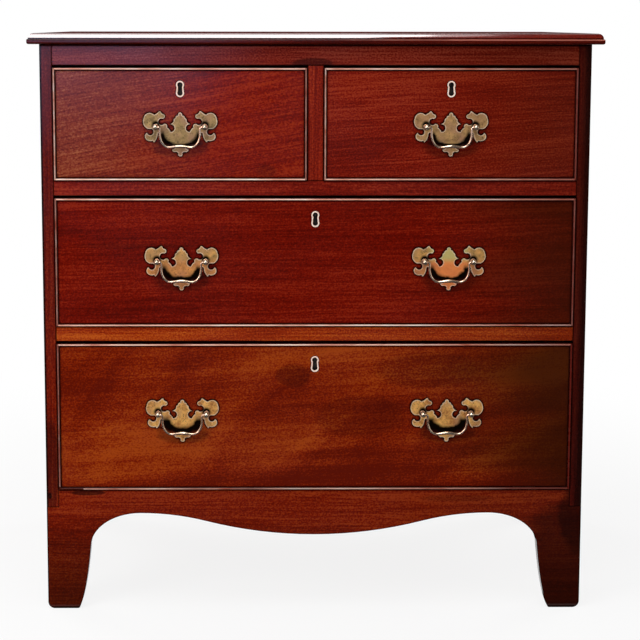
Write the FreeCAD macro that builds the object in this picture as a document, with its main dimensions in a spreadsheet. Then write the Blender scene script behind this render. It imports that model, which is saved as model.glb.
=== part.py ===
import FreeCAD, Part
import Sketcher
import math
import os
import re

from FreeCAD import Placement, Rotation, Vector

# A small mahogany chest of two short and two long drawers on bracket feet, in millimetres.
# X runs to the right, Y to the back and Z up. The origin is on the floor, at the middle of the
# overall width and of the overall depth with the handles.

SIZES = {
    # case
    "case_width": 711,
    "case_depth": 510,
    "side_thickness": 16,
    "side_drop": 23,
    "bottom_thickness": 16,
    "housing_depth": 6,
    "back_thickness": 10,
    "back_rebate": 8,
    "back_board_gap": 0.8,
    # top
    "top_thickness": 14,
    "top_side_overhang": 14.5,
    "top_front_overhang": 15,
    "top_fillet_height": 6.6,
    "top_fillet_step": 1.8,
    "top_nose_rounding": 1.4,
    "top_under_rounding": 2.6,
    # heights, from the floor up
    "base_top": 162,
    "lower_drawer_height": 196.3,
    "middle_drawer_height": 168.3,
    "short_drawer_height": 145.3,
    "blade_thickness": 19.5,
    "top_rail_height": 26.6,
    # gaps round a closed drawer
    "drawer_lower_gap": 0.3,
    "drawer_upper_gap": 3.2,
    "drawer_side_gap": 0.5,
    "drawer_rear_gap": 15,
    # rails, divider and runners
    "rail_depth": 60,
    "divider_width": 21,
    "tenon_length": 6,
    "tenon_height": 9,
    "tenon_setback": 12,
    "runner_width": 24,
    "runner_thickness": 14,
    "centre_runner_width": 64,
    "guide_height": 14,
    "guide_clearance": 0.6,
    "stop_length": 36,
    "stop_depth": 14,
    "stop_headroom": 2,
    "stop_clearance": 0.3,
    # base boards, feet and blocks
    "base_thickness": 18,
    "apron_margin": 8.6,
    "apron_sag": 29.4,
    "bracket_reach": 124.5,
    "bracket_drop": 45.4,
    "foot_width": 58,
    "toe_width": 41.5,
    "toe_rounding": 9,
    "toe_inner_rounding": 3,
    "rear_bracket_thickness": 16,
    "rear_bracket_reach": 110,
    "rear_bracket_toe": 15,
    "rear_bracket_lift": 8,
    "corner_block_width": 22,
    "corner_block_lift": 15,
    "glue_strip_width": 18,
    "glue_strip_height": 14,
    "glue_strip_length": 120,
    # screws up into the top
    "screw_radius": 2,
    "screw_head_radius": 4.2,
    "screw_head_height": 3,
    "screw_counterbore": 12,
    "screw_cover": 5,
    "screw_clearance": 0.15,
    # drawer boards
    "front_thickness": 20,
    "bead_thickness": 3,
    "bead_depth": 9,
    "bead_proud": 2,
    "front_cover": 1,
    "lining_thickness": 10,
    "lining_drop": 3,
    "drawer_back_thickness": 8,
    "drawer_back_drop": 9,
    "drawer_bottom_thickness": 6,
    "drawer_bottom_lift": 7,
    "groove_depth": 4,
    # locks and keyholes
    "lock_width": 58,
    "lock_height": 38,
    "bolt_width": 14,
    "bolt_thickness": 4,
    "bolt_length": 14,
    "bolt_recess": 0.4,
    "bolt_travel": 8,
    "bolt_clearance": 0.3,
    "mortise_clearance": 0.6,
    "keyhole_drop": 22,
    "keyhole_radius": 3.4,
    "keyhole_neck_width": 4.6,
    "keyhole_foot_width": 6.9,
    "keyhole_length": 14,
    "drill_pin_radius": 1.4,
    "drill_pin_setback": 3,
    "escutcheon_wall": 1.8,
    "escutcheon_depth": 2.5,
    "escutcheon_proud": 0.3,
    # handles
    "handle_spacing": 349,
    "short_pivot_height": 69.2,
    "middle_pivot_height": 85.6,
    "lower_pivot_height": 103,
    "plate_end_reach": 16.25,
    "plate_height": 58,
    "plate_thickness": 1.6,
    "post_spacing": 63.5,
    "pivot_standoff": 10.5,
    "post_shank_radius": 2.2,
    "post_collar_radius": 4,
    "post_collar_height": 1.2,
    "post_neck_radius": 2.4,
    "post_ball_radius": 3.6,
    "post_clearance": 0.15,
    "nut_radius": 6,
    "nut_thickness": 4,
    "nut_tail": 2,
    "bail_wire_radius": 1.6,
    "bail_side_gap": 0.75,
    "bail_drop": 26.3,
    "bail_bend_radius": 2,
    "bail_corner_radius": 14,
    "bail_rise": 1.6,
    "pintle_clearance": 0.1,
    "pintle_tail": 3,
    # how far a cutting piece runs past what it cuts
    "cut_overrun": 1,
}

# Places and sizes that follow from the sizes above.
PLACES = {
    "inner_width": "case_width - 2 * side_thickness",
    "front_reach": "max(top_front_overhang; plate_thickness + pivot_standoff + post_ball_radius)",
    "front_y": "(front_reach - case_depth) / 2",
    "back_y": "front_y + case_depth",
    "back_board_y": "back_y - back_thickness",
    "rail_rear_y": "front_y + rail_depth",
    "runner_length": "back_board_y - rail_rear_y",
    "tenon_depth": "rail_depth - 2 * tenon_setback",
    "front_rear_y": "front_y + front_thickness",
    "tail_length": "front_thickness - bead_depth - front_cover",
    "drawer_end_y": "back_board_y - drawer_rear_gap",
    "lining_end_y": "drawer_end_y - drawer_back_thickness",
    "side_bottom": "base_top - side_drop",
    "bottom_z": "base_top - bottom_thickness",
    "apron_peak_height": "side_bottom - apron_margin",
    "apron_centre_height": "apron_peak_height - apron_sag",
    "bracket_spring_height": "apron_peak_height - bracket_drop",
    "lower_drawer_z": "base_top + drawer_lower_gap",
    "lower_blade_z": "lower_drawer_z + lower_drawer_height + drawer_upper_gap",
    "lower_blade_top": "lower_blade_z + blade_thickness",
    "middle_drawer_z": "lower_blade_top + drawer_lower_gap",
    "upper_blade_z": "middle_drawer_z + middle_drawer_height + drawer_upper_gap",
    "upper_blade_top": "upper_blade_z + blade_thickness",
    "short_drawer_z": "upper_blade_top + drawer_lower_gap",
    "top_rail_z": "short_drawer_z + short_drawer_height + drawer_upper_gap",
    "case_top": "top_rail_z + top_rail_height",
    "long_width": "inner_width - 2 * drawer_side_gap",
    "short_width": "(inner_width - divider_width) / 2 - 2 * drawer_side_gap",
    "short_x": "(inner_width + divider_width) / 4",
    "stop_height": "drawer_bottom_lift - stop_headroom",
    "screw_bite": "top_thickness - screw_cover",
    "lock_thickness": "tail_length",
    "lock_y": "front_rear_y - lock_thickness",
    "drill_pin_length": "lock_y - front_y - drill_pin_setback",
    "bolt_y": "lock_y + (lock_thickness - bolt_thickness) / 2",
    "pivot_y": "front_y - plate_thickness - pivot_standoff",
    "plate_half_width": "post_spacing / 2 + plate_end_reach",
    "bail_half_span": "post_spacing / 2 - post_ball_radius - bail_wire_radius - bail_side_gap",
    "mortise_depth": "bolt_travel - bolt_recess - drawer_upper_gap + mortise_clearance",
}

# Each drawer: its centre, floor, width, height, the rail above it, the pivots of its handles and
# how many dovetails each corner has.
DRAWERS = {
    "left_drawer": {
        "x": "-short_x", "z": "short_drawer_z", "width": "short_width",
        "height": "short_drawer_height", "rail_above": "top_rail_z",
        "pivot_height": "short_pivot_height", "handles": {"": "-short_x"}, "tails": 3,
    },
    "right_drawer": {
        "x": "short_x", "z": "short_drawer_z", "width": "short_width",
        "height": "short_drawer_height", "rail_above": "top_rail_z",
        "pivot_height": "short_pivot_height", "handles": {"": "short_x"}, "tails": 3,
    },
    "middle_drawer": {
        "x": "0", "z": "middle_drawer_z", "width": "long_width",
        "height": "middle_drawer_height", "rail_above": "upper_blade_z",
        "pivot_height": "middle_pivot_height",
        "handles": {"_left": "-handle_spacing / 2", "_right": "handle_spacing / 2"}, "tails": 4,
    },
    "lower_drawer": {
        "x": "0", "z": "lower_drawer_z", "width": "long_width",
        "height": "lower_drawer_height", "rail_above": "lower_blade_z",
        "pivot_height": "lower_pivot_height",
        "handles": {"_left": "-handle_spacing / 2", "_right": "handle_spacing / 2"}, "tails": 5,
    },
}

BACK_BOARD_COUNT = 5
SCREW_PLACE_SHARES = (-0.36, -0.12, 0.12, 0.36)
STOP_PLACE_SHARES = (-0.36, 0.36)
GLUE_STRIP_PLACE_SHARES = (-0.2, 0.2)
TAIL_ROOT_SHARE = 0.42
TAIL_TIP_SHARE = 0.62
OVOLO_SHARE = 0.92
BEAD_ROUNDING_SHARE = 0.47
KEYHOLE_FLARE_SHARE = 0.94
APRON_TURN_SHARE = 0.62
FOOT_CURVE_SHARES = ((0.18, 0.35), (0.46, 0.79))

# Half of a back plate's outline, from its top down to its tip: shares of the half width and of the
# height, measured from the middle of the line between the posts. A stretch is (middle, end) of an
# arc, or (None, end) of a straight line.
PLATE_TOP_SHARES = (0, 0.32)
PLATE_OUTLINE_SHARES = (
    ((0.05, 0.29), (0.04, 0.25)),
    ((0.09, 0.25), (0.12, 0.20)),
    ((0.16, 0.18), (0.17, 0.13)),
    ((0.21, 0.09), (0.28, 0.06)),
    ((0.15, -0.03), (0.26, -0.11)),
    ((0.30, -0.05), (0.36, -0.01)),
    ((0.40, 0.07), (0.46, 0.05)),
    ((0.59, 0.12), (0.49, 0.19)),
    ((0.41, 0.23), (0.44, 0.28)),
    ((0.49, 0.30), (0.52, 0.34)),
    ((0.54, 0.35), (0.57, 0.34)),
    ((0.63, 0.30), (0.70, 0.27)),
    ((0.85, 0.31), (0.98, 0.19)),
    ((0.98, 0.05), (0.87, -0.04)),
    (None, (0.77, -0.04)),
    ((0.73, -0.15), (0.86, -0.17)),
    (None, (0.90, -0.13)),
    ((0.95, -0.21), (0.87, -0.30)),
    ((0.81, -0.31), (0.74, -0.30)),
    (None, (0.71, -0.34)),
    ((0.64, -0.26), (0.61, -0.17)),
    ((0.56, -0.12), (0.51, -0.16)),
    ((0.46, -0.28), (0.33, -0.37)),
    ((0.28, -0.35), (0.23, -0.39)),
    ((0.17, -0.41), (0.12, -0.40)),
    ((0.14, -0.47), (0.22, -0.50)),
    ((0.20, -0.54), (0.14, -0.55)),
    ((0.08, -0.56), (0.05, -0.59)),
    ((0.05, -0.63), (0.0, -0.65)),
)

AXIS_TURNS = {
    "x": Rotation(Vector(0, 1, 0), 90),
    "y": Rotation(Vector(1, 0, 0), -90),
    "-y": Rotation(Vector(1, 0, 0), 90),
    "z": Rotation(),
}

doc = FreeCAD.newDocument("bachelors_chest")
sheet = doc.addObject("Spreadsheet::Sheet", "sizes")
places = doc.addObject("App::VarSet", "places")
pieces = {}


def bound(text):
    """Point each size and place that an expression names at the cell or property holding it."""
    def owner(match):
        word = match.group(0)
        if word in SIZES:
            return "sizes." + word
        if word in PLACES:
            return "places." + word
        return word
    return re.sub(r"[A-Za-z_]\w*", owner, text)


def value(word):
    """The present number of a size or place, for the pieces whose outline is worked out here."""
    if word in SIZES:
        return float(sheet.get(word))
    return getattr(places, word)


def fill_sheet():
    for row, (word, number) in enumerate(SIZES.items(), start=1):
        sheet.set(f"A{row}", word)
        sheet.set(f"B{row}", str(number))
        sheet.setAlias(f"B{row}", word)
    for word, text in PLACES.items():
        places.addProperty("App::PropertyFloat", word, "Places")
        places.setExpression(word, bound(text))
    doc.recompute()


def bind(item, expressions):
    for name, text in expressions.items():
        item.setExpression(name, bound(text))
    return item


def put(item, x, y, z):
    return bind(item, {"Placement.Base.x": x, "Placement.Base.y": y, "Placement.Base.z": z})


def block(name, x, y, z):
    """A board: each of x, y and z is its start and its size."""
    item = doc.addObject("Part::Box", name)
    bind(item, {"Length": x[1], "Width": y[1], "Height": z[1]})
    return put(item, x[0], y[0], z[0])


def rod(name, radius, length, x, y, z, axis="z"):
    item = doc.addObject("Part::Cylinder", name)
    item.Placement = Placement(Vector(), AXIS_TURNS[axis])
    bind(item, {"Radius": radius, "Height": length})
    return put(item, x, y, z)


def tapered(name, near_x, far_x, y, near_z, far_z):
    """A wedge whose face at its near end, across Y, differs from its face at its far end."""
    item = doc.addObject("Part::Wedge", name)
    bind(item, {
        "Xmin": near_x[0], "Xmax": near_x[1], "X2min": far_x[0], "X2max": far_x[1],
        "Ymin": y[0], "Ymax": y[1],
        "Zmin": near_z[0], "Zmax": near_z[1], "Z2min": far_z[0], "Z2max": far_z[1],
    })
    return item


def fuse(name, items):
    item = doc.addObject("Part::MultiFuse", name)
    item.Shapes = items
    item.Refine = True
    return item


def bundle(name, items):
    item = doc.addObject("Part::Compound", name)
    item.Links = items
    return item


def cut(name, base, tools):
    item = doc.addObject("Part::Cut", name)
    item.Base = base
    item.Tool = tools[0] if len(tools) == 1 else bundle(name + "_cutters", tools)
    item.Refine = True
    return item


def solid(name, shape):
    item = doc.addObject("Part::Feature", name)
    item.Shape = shape
    return item


def rounded(name, base, on_edge, radius):
    """Round the long straight edges of a piece whose ends both pass the test on_edge."""
    edges = []
    for index, edge in enumerate(base.Shape.Edges, start=1):
        ends_pass = all(on_edge(vertex.Point) for vertex in edge.Vertexes)
        if ends_pass and edge.Length > 4 * radius:
            edges.append((index, radius, radius))
    item = doc.addObject("Part::Fillet", name)
    item.Base = base
    item.Edges = edges
    return item


def keep(label, item):
    """Give a finished piece its label, and list it for writing."""
    item.Label = label
    pieces[label] = item
    return item


def outline_solid(edges, thickness):
    """The solid that a closed outline sweeps along a thickness vector."""
    wire = Part.Wire(Part.__sortEdges__(edges))
    return Part.Face(wire).extrude(thickness)


def rectangle(body, name, lift, near, width, depth):
    """A sketch of a rectangle about the Y axis, on the body's XY plane raised by lift."""
    sketch = body.newObject("Sketcher::SketchObject", name)
    plane = [item for item in body.Origin.OriginFeatures if item.Role == "XY_Plane"][0]
    sketch.AttachmentSupport = [(plane, "")]
    sketch.MapMode = "FlatFace"
    sketch.setExpression("AttachmentOffset.Base.z", bound(lift))
    corners = [Vector(-1, 0), Vector(1, 0), Vector(1, 1), Vector(-1, 1)]
    for index in range(4):
        sketch.addGeometry(Part.LineSegment(corners[index], corners[(index + 1) % 4]))
    for index in range(4):
        sketch.addConstraint(Sketcher.Constraint("Coincident", index, 2, (index + 1) % 4, 1))
    sketch.addConstraint(Sketcher.Constraint("Vertical", 1))
    sketch.addConstraint(Sketcher.Constraint("Horizontal", 2))
    sketch.addConstraint(Sketcher.Constraint("Vertical", 3))
    sketch.addConstraint(Sketcher.Constraint("Symmetric", 0, 1, 0, 2, -2))
    for kind, ends, size in (("DistanceX", (0, 1, 0, 2), width), ("DistanceY", (1, 1, 1, 2), depth),
                             ("DistanceY", (-1, 1, 0, 1), near)):
        place = sketch.addConstraint(Sketcher.Constraint(kind, *ends, 1))
        sketch.setExpression(f"Constraints[{place}]", bound(size))
    return sketch


def pad(body, name, sketch, length):
    item = body.newObject("PartDesign::Pad", name)
    item.Profile = sketch
    item.setExpression("Length", bound(length))
    return item


def build_screws():
    """Screws through the two top rails into the top, with the holes that they need."""
    screws = []
    rail_holes = {"front": [], "rear": []}
    pilots = []
    rows = {"front": "front_y + rail_depth / 2", "rear": "back_board_y - rail_depth / 2"}
    for row, y in rows.items():
        for index, share in enumerate(SCREW_PLACE_SHARES):
            name = f"screw_{row}_{index}"
            x = f"{share} * inner_width"
            seat = "top_rail_z + screw_counterbore"
            head = rod(name + "_head", "screw_head_radius", "screw_head_height",
                       x, y, seat + " - screw_head_height")
            shank = rod(name + "_shank", "screw_radius", "case_top + screw_bite - (" + seat + ")",
                        x, y, seat)
            screws.append(fuse(name, [head, shank]))
            rail_holes[row].append(fuse(name + "_hole", [
                rod(name + "_counterbore", "screw_head_radius + screw_clearance",
                    "screw_counterbore", x, y, "top_rail_z"),
                rod(name + "_bore", "screw_radius + screw_clearance",
                    "top_rail_height", x, y, "top_rail_z"),
            ]))
            pilots.append(rod(name + "_pilot", "screw_radius + screw_clearance", "screw_bite",
                              x, y, "case_top"))
    keep("top_screws", bundle("screws", screws))
    return rail_holes, pilots


def round_top(body, name, base, height, inset, radius):
    """Round the edges along the top's front and ends that are at a height and in by an inset."""
    doc.recompute()
    end_x = value("case_width") / 2 + value("top_side_overhang") - inset
    edges = []
    for index, edge in enumerate(base.Shape.Edges, start=1):
        ends = [vertex.Point for vertex in edge.Vertexes]
        level = all(math.isclose(point.z, height, abs_tol=1e-6) for point in ends)
        at_front = all(math.isclose(point.y, inset, abs_tol=1e-6) for point in ends)
        at_left = all(math.isclose(point.x, -end_x, abs_tol=1e-6) for point in ends)
        at_right = all(math.isclose(point.x, end_x, abs_tol=1e-6) for point in ends)
        if level and (at_front or at_left or at_right):
            edges.append(f"Edge{index}")
    item = body.newObject("PartDesign::Fillet", name)
    item.Base = (base, edges)
    item.setExpression("Radius", bound(radius))
    return item


def build_top(pilots):
    """The top, with a worn fillet and an ovolo along its front and its two ends."""
    body = doc.addObject("PartDesign::Body", "top_body")
    put(body, "0", "front_y - top_front_overhang", "case_top")
    width = "case_width + 2 * top_side_overhang"
    depth = "case_depth + top_front_overhang"
    lower = rectangle(body, "top_lower_sketch", "0", "0", width, depth)
    pad(body, "top_lower", lower, "top_fillet_height")
    upper = rectangle(body, "top_upper_sketch", "top_fillet_height", "top_fillet_step",
                      width + " - 2 * top_fillet_step", depth + " - top_fillet_step")
    upper_pad = pad(body, "top_upper", upper, "top_thickness - top_fillet_height")
    ovolo = round_top(body, "top_ovolo", upper_pad, value("top_thickness"), value("top_fillet_step"),
                      f"{OVOLO_SHARE} * (top_thickness - top_fillet_height)")
    nose = round_top(body, "top_nose", ovolo, value("top_fillet_height"), 0, "top_nose_rounding")
    round_top(body, "top_underside", nose, 0, 0, "top_under_rounding")
    doc.recompute()
    keep("top_board", cut("top", body, pilots))


def tenon_bar(name, y, z, height):
    """A bar right across the case, whose ends are a rail's tenons and cut their mortises."""
    return block(name, ("-inner_width / 2 - tenon_length", "inner_width + 2 * tenon_length"),
                 (y + " + tenon_setback", "tenon_depth"),
                 (f"{z} + ({height} - tenon_height) / 2", "tenon_height"))


def bolt_mortise(name):
    """The slot that a drawer's bolt rises into, in the rail above the drawer."""
    drawer = DRAWERS[name]
    return block(name + "_mortise",
                 (f"{drawer['x']} - bolt_width / 2 - mortise_clearance",
                  "bolt_width + 2 * mortise_clearance"),
                 ("bolt_y - mortise_clearance", "bolt_thickness + 2 * mortise_clearance"),
                 (drawer["rail_above"], "mortise_depth"))


def build_rails(rail_holes):
    """The rails and the divider. Returns the bars whose ends go into the sides."""
    rails = {
        "top_rail_front": ("front_y", "top_rail_z", "top_rail_height"),
        "top_rail_rear": ("back_board_y - rail_depth", "top_rail_z", "top_rail_height"),
        "upper_blade": ("front_y", "upper_blade_z", "blade_thickness"),
        "lower_blade": ("front_y", "lower_blade_z", "blade_thickness"),
    }
    divider_tenon = block("divider_tenon", ("-divider_width / 4", "divider_width / 2"),
                          ("front_y + tenon_setback", "tenon_depth"),
                          ("upper_blade_top - tenon_length",
                           "top_rail_z - upper_blade_top + 2 * tenon_length"))
    openings = {
        "top_rail_front": rail_holes["front"] + [divider_tenon, bolt_mortise("left_drawer"),
                                                 bolt_mortise("right_drawer")],
        "top_rail_rear": rail_holes["rear"],
        "upper_blade": [divider_tenon, bolt_mortise("middle_drawer")],
        "lower_blade": [bolt_mortise("lower_drawer")],
    }
    bars = []
    for label, (y, z, height) in rails.items():
        board = block(label + "_board", ("-inner_width / 2", "inner_width"), (y, "rail_depth"),
                      (z, height))
        bar = tenon_bar(label + "_bar", y, z, height)
        bars.append(bar)
        keep(label, cut(label + "_cut", fuse(label + "_fuse", [board, bar]), openings[label]))
    upright = block("divider_board", ("-divider_width / 2", "divider_width"),
                    ("front_y", "rail_depth"), ("upper_blade_top", "top_rail_z - upper_blade_top"))
    keep("centre_divider", fuse("divider", [upright, divider_tenon]))
    return bars


def build_sides(bars):
    """The bottom and the two sides, grooved for the rails and the bottom and rebated for the back."""
    bottom = block("bottom", ("-inner_width / 2 - housing_depth", "inner_width + 2 * housing_depth"),
                   ("front_y + base_thickness", "back_board_y - front_y - base_thickness"),
                   ("bottom_z", "bottom_thickness"))
    keep("bottom_board", bottom)
    rebate = block("back_rebate_cutter",
                   ("-inner_width / 2 - back_rebate", "inner_width + 2 * back_rebate"),
                   ("back_board_y", "back_thickness"), ("side_bottom", "case_top - side_bottom"))
    for label, x in (("side_left", "-case_width / 2"), ("side_right", "inner_width / 2")):
        board = block(label + "_board", (x, "side_thickness"), ("front_y", "case_depth"),
                      ("side_bottom", "case_top - side_bottom"))
        keep(label, cut(label + "_cut", board, bars + [bottom, rebate]))


def build_back():
    """Upright back boards, side by side in the rebates."""
    span = "inner_width + 2 * back_rebate"
    width = f"({span} - {BACK_BOARD_COUNT - 1} * back_board_gap) / {BACK_BOARD_COUNT}"
    boards = []
    for index in range(BACK_BOARD_COUNT):
        x = f"-({span}) / 2 + {index} * ({width} + back_board_gap)"
        boards.append(block(f"back_board_{index}", (x, width), ("back_board_y", "back_thickness"),
                            ("side_bottom", "case_top - side_bottom")))
    keep("back_boards", bundle("back", boards))


def build_runners():
    """Runners behind the blades, a guide between the short drawers and kickers under the top."""
    items = []
    left = "-inner_width / 2"
    right = "inner_width / 2 - runner_width"
    along = ("rail_rear_y", "runner_length")
    for row in ("upper_blade", "lower_blade"):
        height = (f"{row}_top - runner_thickness", "runner_thickness")
        items.append(block(row + "_runner_left", (left, "runner_width"), along, height))
        items.append(block(row + "_runner_right", (right, "runner_width"), along, height))
    items.append(block("centre_runner", ("-centre_runner_width / 2", "centre_runner_width"), along,
                       ("upper_blade_top - runner_thickness", "runner_thickness")))
    items.append(block("centre_guide", ("-divider_width / 2 + guide_clearance",
                                        "divider_width - 2 * guide_clearance"),
                       along, ("upper_blade_top", "guide_height")))
    under_top = ("rail_rear_y", "runner_length - rail_depth")
    height = ("top_rail_z", "runner_thickness")
    for name, x in (("left", left), ("middle", "-runner_width / 2"), ("right", right)):
        items.append(block("kicker_" + name, (x, "runner_width"), under_top, height))
    keep("drawer_runners", bundle("runners", items))


def build_stops():
    """Blocks behind each drawer front, on the blade or board that the drawer runs over."""
    items = []
    for name, drawer in DRAWERS.items():
        for index, share in enumerate(STOP_PLACE_SHARES):
            x = f"{drawer['x']} + {share} * {drawer['width']} - stop_length / 2"
            items.append(block(f"{name}_stop_{index}", (x, "stop_length"),
                               ("front_rear_y + stop_clearance", "stop_depth"),
                               (f"{drawer['z']} - drawer_lower_gap", "stop_height")))
    keep("drawer_stops", bundle("stops", items))


def bracket_edges(point, outer, inward):
    """The edge of a bracket foot, from its toe up to the peak beside it.

    point turns (distance along the board, height) into a place, outer is the board's end and
    inward is 1 or -1, the way from that end to the middle.
    """
    spring = value("bracket_spring_height")
    peak = value("apron_peak_height")
    toe_at = outer + inward * value("toe_width")
    foot_at = outer + inward * value("foot_width")
    peak_at = outer + inward * value("bracket_reach")
    poles = [point(foot_at, spring)]
    for across, down in FOOT_CURVE_SHARES:
        poles.append(point(foot_at + across * (toe_at - foot_at), spring * (1 - down)))
    poles.append(point(toe_at, 0))
    foot = Part.BezierCurve()
    foot.setPoles(poles)
    arch = Part.BezierCurve()
    arch.setPoles([point(foot_at, spring), point(foot_at, peak), point(peak_at, peak)])
    arch.setWeight(2, math.sqrt(0.5))
    return [foot.toShape(), arch.toShape()]


def line(start, end):
    return Part.LineSegment(start, end).toShape()


def apron_edges(point, side):
    """Half of the serpentine edge: two arcs that meet between the middle and the peak."""
    middle = value("apron_centre_height")
    peak = value("apron_peak_height")
    across = value("case_width") / 2 - value("bracket_reach")
    rise = peak - middle
    radii = (across * across + rise * rise) / (2 * rise)
    low = APRON_TURN_SHARE * radii
    high = radii - low
    turn = math.asin(across / radii)

    def low_arc(angle):
        return point(side * low * math.sin(angle), middle + low * (1 - math.cos(angle)))

    def high_arc(angle):
        return point(side * (across - high * math.sin(angle)), peak - high * (1 - math.cos(angle)))

    return [Part.Arc(low_arc(0), low_arc(turn / 2), low_arc(turn)).toShape(),
            Part.Arc(high_arc(turn), high_arc(turn / 2), high_arc(0)).toShape()]


def build_base():
    """The front board with its apron and feet, and the side boards mitred to it."""
    half = value("case_width") / 2
    inner = value("inner_width") / 2
    shoulder = value("side_bottom")
    front = value("front_y")
    back = value("back_y")

    def on_front(along, height):
        return Vector(along, front, height)

    edges = [line(on_front(-inner, value("base_top")), on_front(inner, value("base_top")))]
    for side in (-1, 1):
        outer = side * half
        edges += apron_edges(on_front, side)
        edges += bracket_edges(on_front, outer, -side)
        rounding = value("toe_rounding")
        middle = rounding * (1 - math.sqrt(0.5))
        edges += [
            line(on_front(outer - side * value("toe_width"), 0), on_front(outer - side * rounding, 0)),
            Part.Arc(on_front(outer - side * rounding, 0), on_front(outer - side * middle, middle),
                     on_front(outer, rounding)).toShape(),
            line(on_front(outer, rounding), on_front(outer, shoulder)),
            line(on_front(outer, shoulder), on_front(side * inner, shoulder)),
            line(on_front(side * inner, shoulder), on_front(side * inner, value("base_top"))),
        ]
    board = solid("base_front_board", outline_solid(edges, Vector(0, value("base_thickness"), 0)))
    mitre_length = f"{math.sqrt(2)} * (base_thickness + cut_overrun)"
    mitres = [mitre_box("front_mitre_right", "case_width / 2", 45, mitre_length),
              mitre_box("front_mitre_left", "-case_width / 2", 45, mitre_length)]
    board = cut("base_front_cut", board, mitres)
    doc.recompute()

    def toe_corner(point):
        inner_toe = half - value("toe_width")
        return math.isclose(point.z, 0, abs_tol=1e-6) and math.isclose(abs(point.x), inner_toe, abs_tol=1e-6)

    keep("base_front", rounded("base_front_rounded", board, toe_corner, value("toe_inner_rounding")))

    for side, label, angle in ((-1, "base_side_left", -45), (1, "base_side_right", 45 + 90)):
        outer = side * half

        def on_side(along, height):
            return Vector(outer, along, height)

        edges = [
            line(on_side(front, shoulder), on_side(back, shoulder)),
            line(on_side(front + value("bracket_reach"), value("apron_peak_height")),
                 on_side(back - value("bracket_reach"), value("apron_peak_height"))),
        ]
        for end, inward in ((front, 1), (back, -1)):
            edges += bracket_edges(on_side, end, inward)
            edges += [
                line(on_side(end + inward * value("toe_width"), 0), on_side(end, 0)),
                line(on_side(end, 0), on_side(end, shoulder)),
            ]
        board = solid(label + "_board",
                      outline_solid(edges, Vector(-side * value("base_thickness"), 0, 0)))
        x = "case_width / 2" if side > 0 else "-case_width / 2"
        board = cut(label + "_cut", board, [mitre_box(label + "_mitre", x, angle, mitre_length)])
        doc.recompute()

        def under_face(point):
            return math.isclose(point.z, 0, abs_tol=1e-6) and math.isclose(point.x, outer, abs_tol=1e-6)

        keep(label, rounded(label + "_rounded", board, under_face, value("toe_rounding")))


def mitre_box(name, x, angle, length):
    """A box turned about a front corner of the base, to cut a mitre there."""
    item = doc.addObject("Part::Box", name)
    item.Placement = Placement(Vector(), Rotation(Vector(0, 0, 1), angle))
    bind(item, {"Length": length, "Width": length, "Height": "side_bottom"})
    return put(item, x, "front_y", "0")


def build_blocks():
    """The plain rear brackets, which hang clear of the floor, and the blocks and strips glued
    behind the base boards."""
    inside = value("case_width") / 2 - value("base_thickness")
    rear = value("back_y")
    top = value("side_bottom")
    low = value("rear_bracket_lift")
    brackets = []
    for side in (-1, 1):
        corners = [(inside, low), (inside, top), (inside - value("rear_bracket_reach"), top),
                   (inside - value("rear_bracket_toe"), low)]
        points = [Vector(side * x, rear, z) for x, z in corners]
        edges = [line(points[index - 1], points[index]) for index in range(len(points))]
        brackets.append(solid(f"rear_bracket_{side}",
                              outline_solid(edges, Vector(0, -value("rear_bracket_thickness"), 0))))
    keep("rear_brackets", bundle("rear_bracket_pair", brackets))

    items = []
    left = "-case_width / 2 + base_thickness"
    right = "case_width / 2 - base_thickness"
    behind_front = "front_y + base_thickness"
    before_rear = "back_y - rear_bracket_thickness"
    height = ("corner_block_lift", "bottom_z - corner_block_lift")
    for name, y in (("front", behind_front), ("rear", before_rear + " - corner_block_width")):
        depth = (y, "corner_block_width")
        items.append(block(f"block_{name}_left", (left, "corner_block_width"), depth, height))
        items.append(block(f"block_{name}_right", (right + " - corner_block_width",
                                                   "corner_block_width"), depth, height))
    under = ("bottom_z - glue_strip_height", "glue_strip_height")
    for index, share in enumerate(GLUE_STRIP_PLACE_SHARES):
        items.append(block(f"front_strip_{index}",
                           (f"{share} * case_width - glue_strip_length / 2", "glue_strip_length"),
                           (behind_front, "glue_strip_width"), under))
        depth = (f"front_y + (0.5 + {share}) * case_depth - glue_strip_length / 2",
                 "glue_strip_length")
        items.append(block(f"left_strip_{index}", (left, "glue_strip_width"), depth, under))
        items.append(block(f"right_strip_{index}", (right + " - glue_strip_width",
                                                    "glue_strip_width"), depth, under))
    keep("glue_blocks", bundle("glue_block_set", items))


def bead_strip(name, length, turn, x, z):
    """One mitred bead, along local X with its outer face down, rounded along its front."""
    whole = (f"-({length}) / 2", f"({length}) / 2")
    short = (f"-({length}) / 2 + bead_thickness", f"({length}) / 2 - bead_thickness")
    depth = ("-bead_depth", "bead_proud")
    strip = tapered(name + "_strip", whole, short, ("0", "bead_thickness"), depth, depth)
    strip.Placement = Placement(Vector(), Rotation(Vector(0, 1, 0), turn).multiply(AXIS_TURNS["-y"]))
    put(strip, x, "front_y", z)
    doc.recompute()
    front = value("front_y") - value("bead_proud")

    def at_front(point):
        return math.isclose(point.y, front, abs_tol=1e-6)

    return rounded(name, strip, at_front, BEAD_ROUNDING_SHARE * value("bead_thickness"))


def build_beads(name, drawer):
    """Four mitred cock-beads round a drawer front."""
    half_width = f"{drawer['width']} / 2"
    middle_z = f"{drawer['z']} + {drawer['height']} / 2"
    strips = [
        bead_strip(name + "_bead_lower", drawer["width"], 0, drawer["x"], drawer["z"]),
        bead_strip(name + "_bead_upper", drawer["width"], 180, drawer["x"],
                   f"{drawer['z']} + {drawer['height']}"),
        bead_strip(name + "_bead_left", drawer["height"], 90,
                   f"{drawer['x']} - {half_width}", middle_z),
        bead_strip(name + "_bead_right", drawer["height"], -90,
                   f"{drawer['x']} + {half_width}", middle_z),
    ]
    keep(name + "_cockbeads", bundle(name + "_bead_set", strips))


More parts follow.
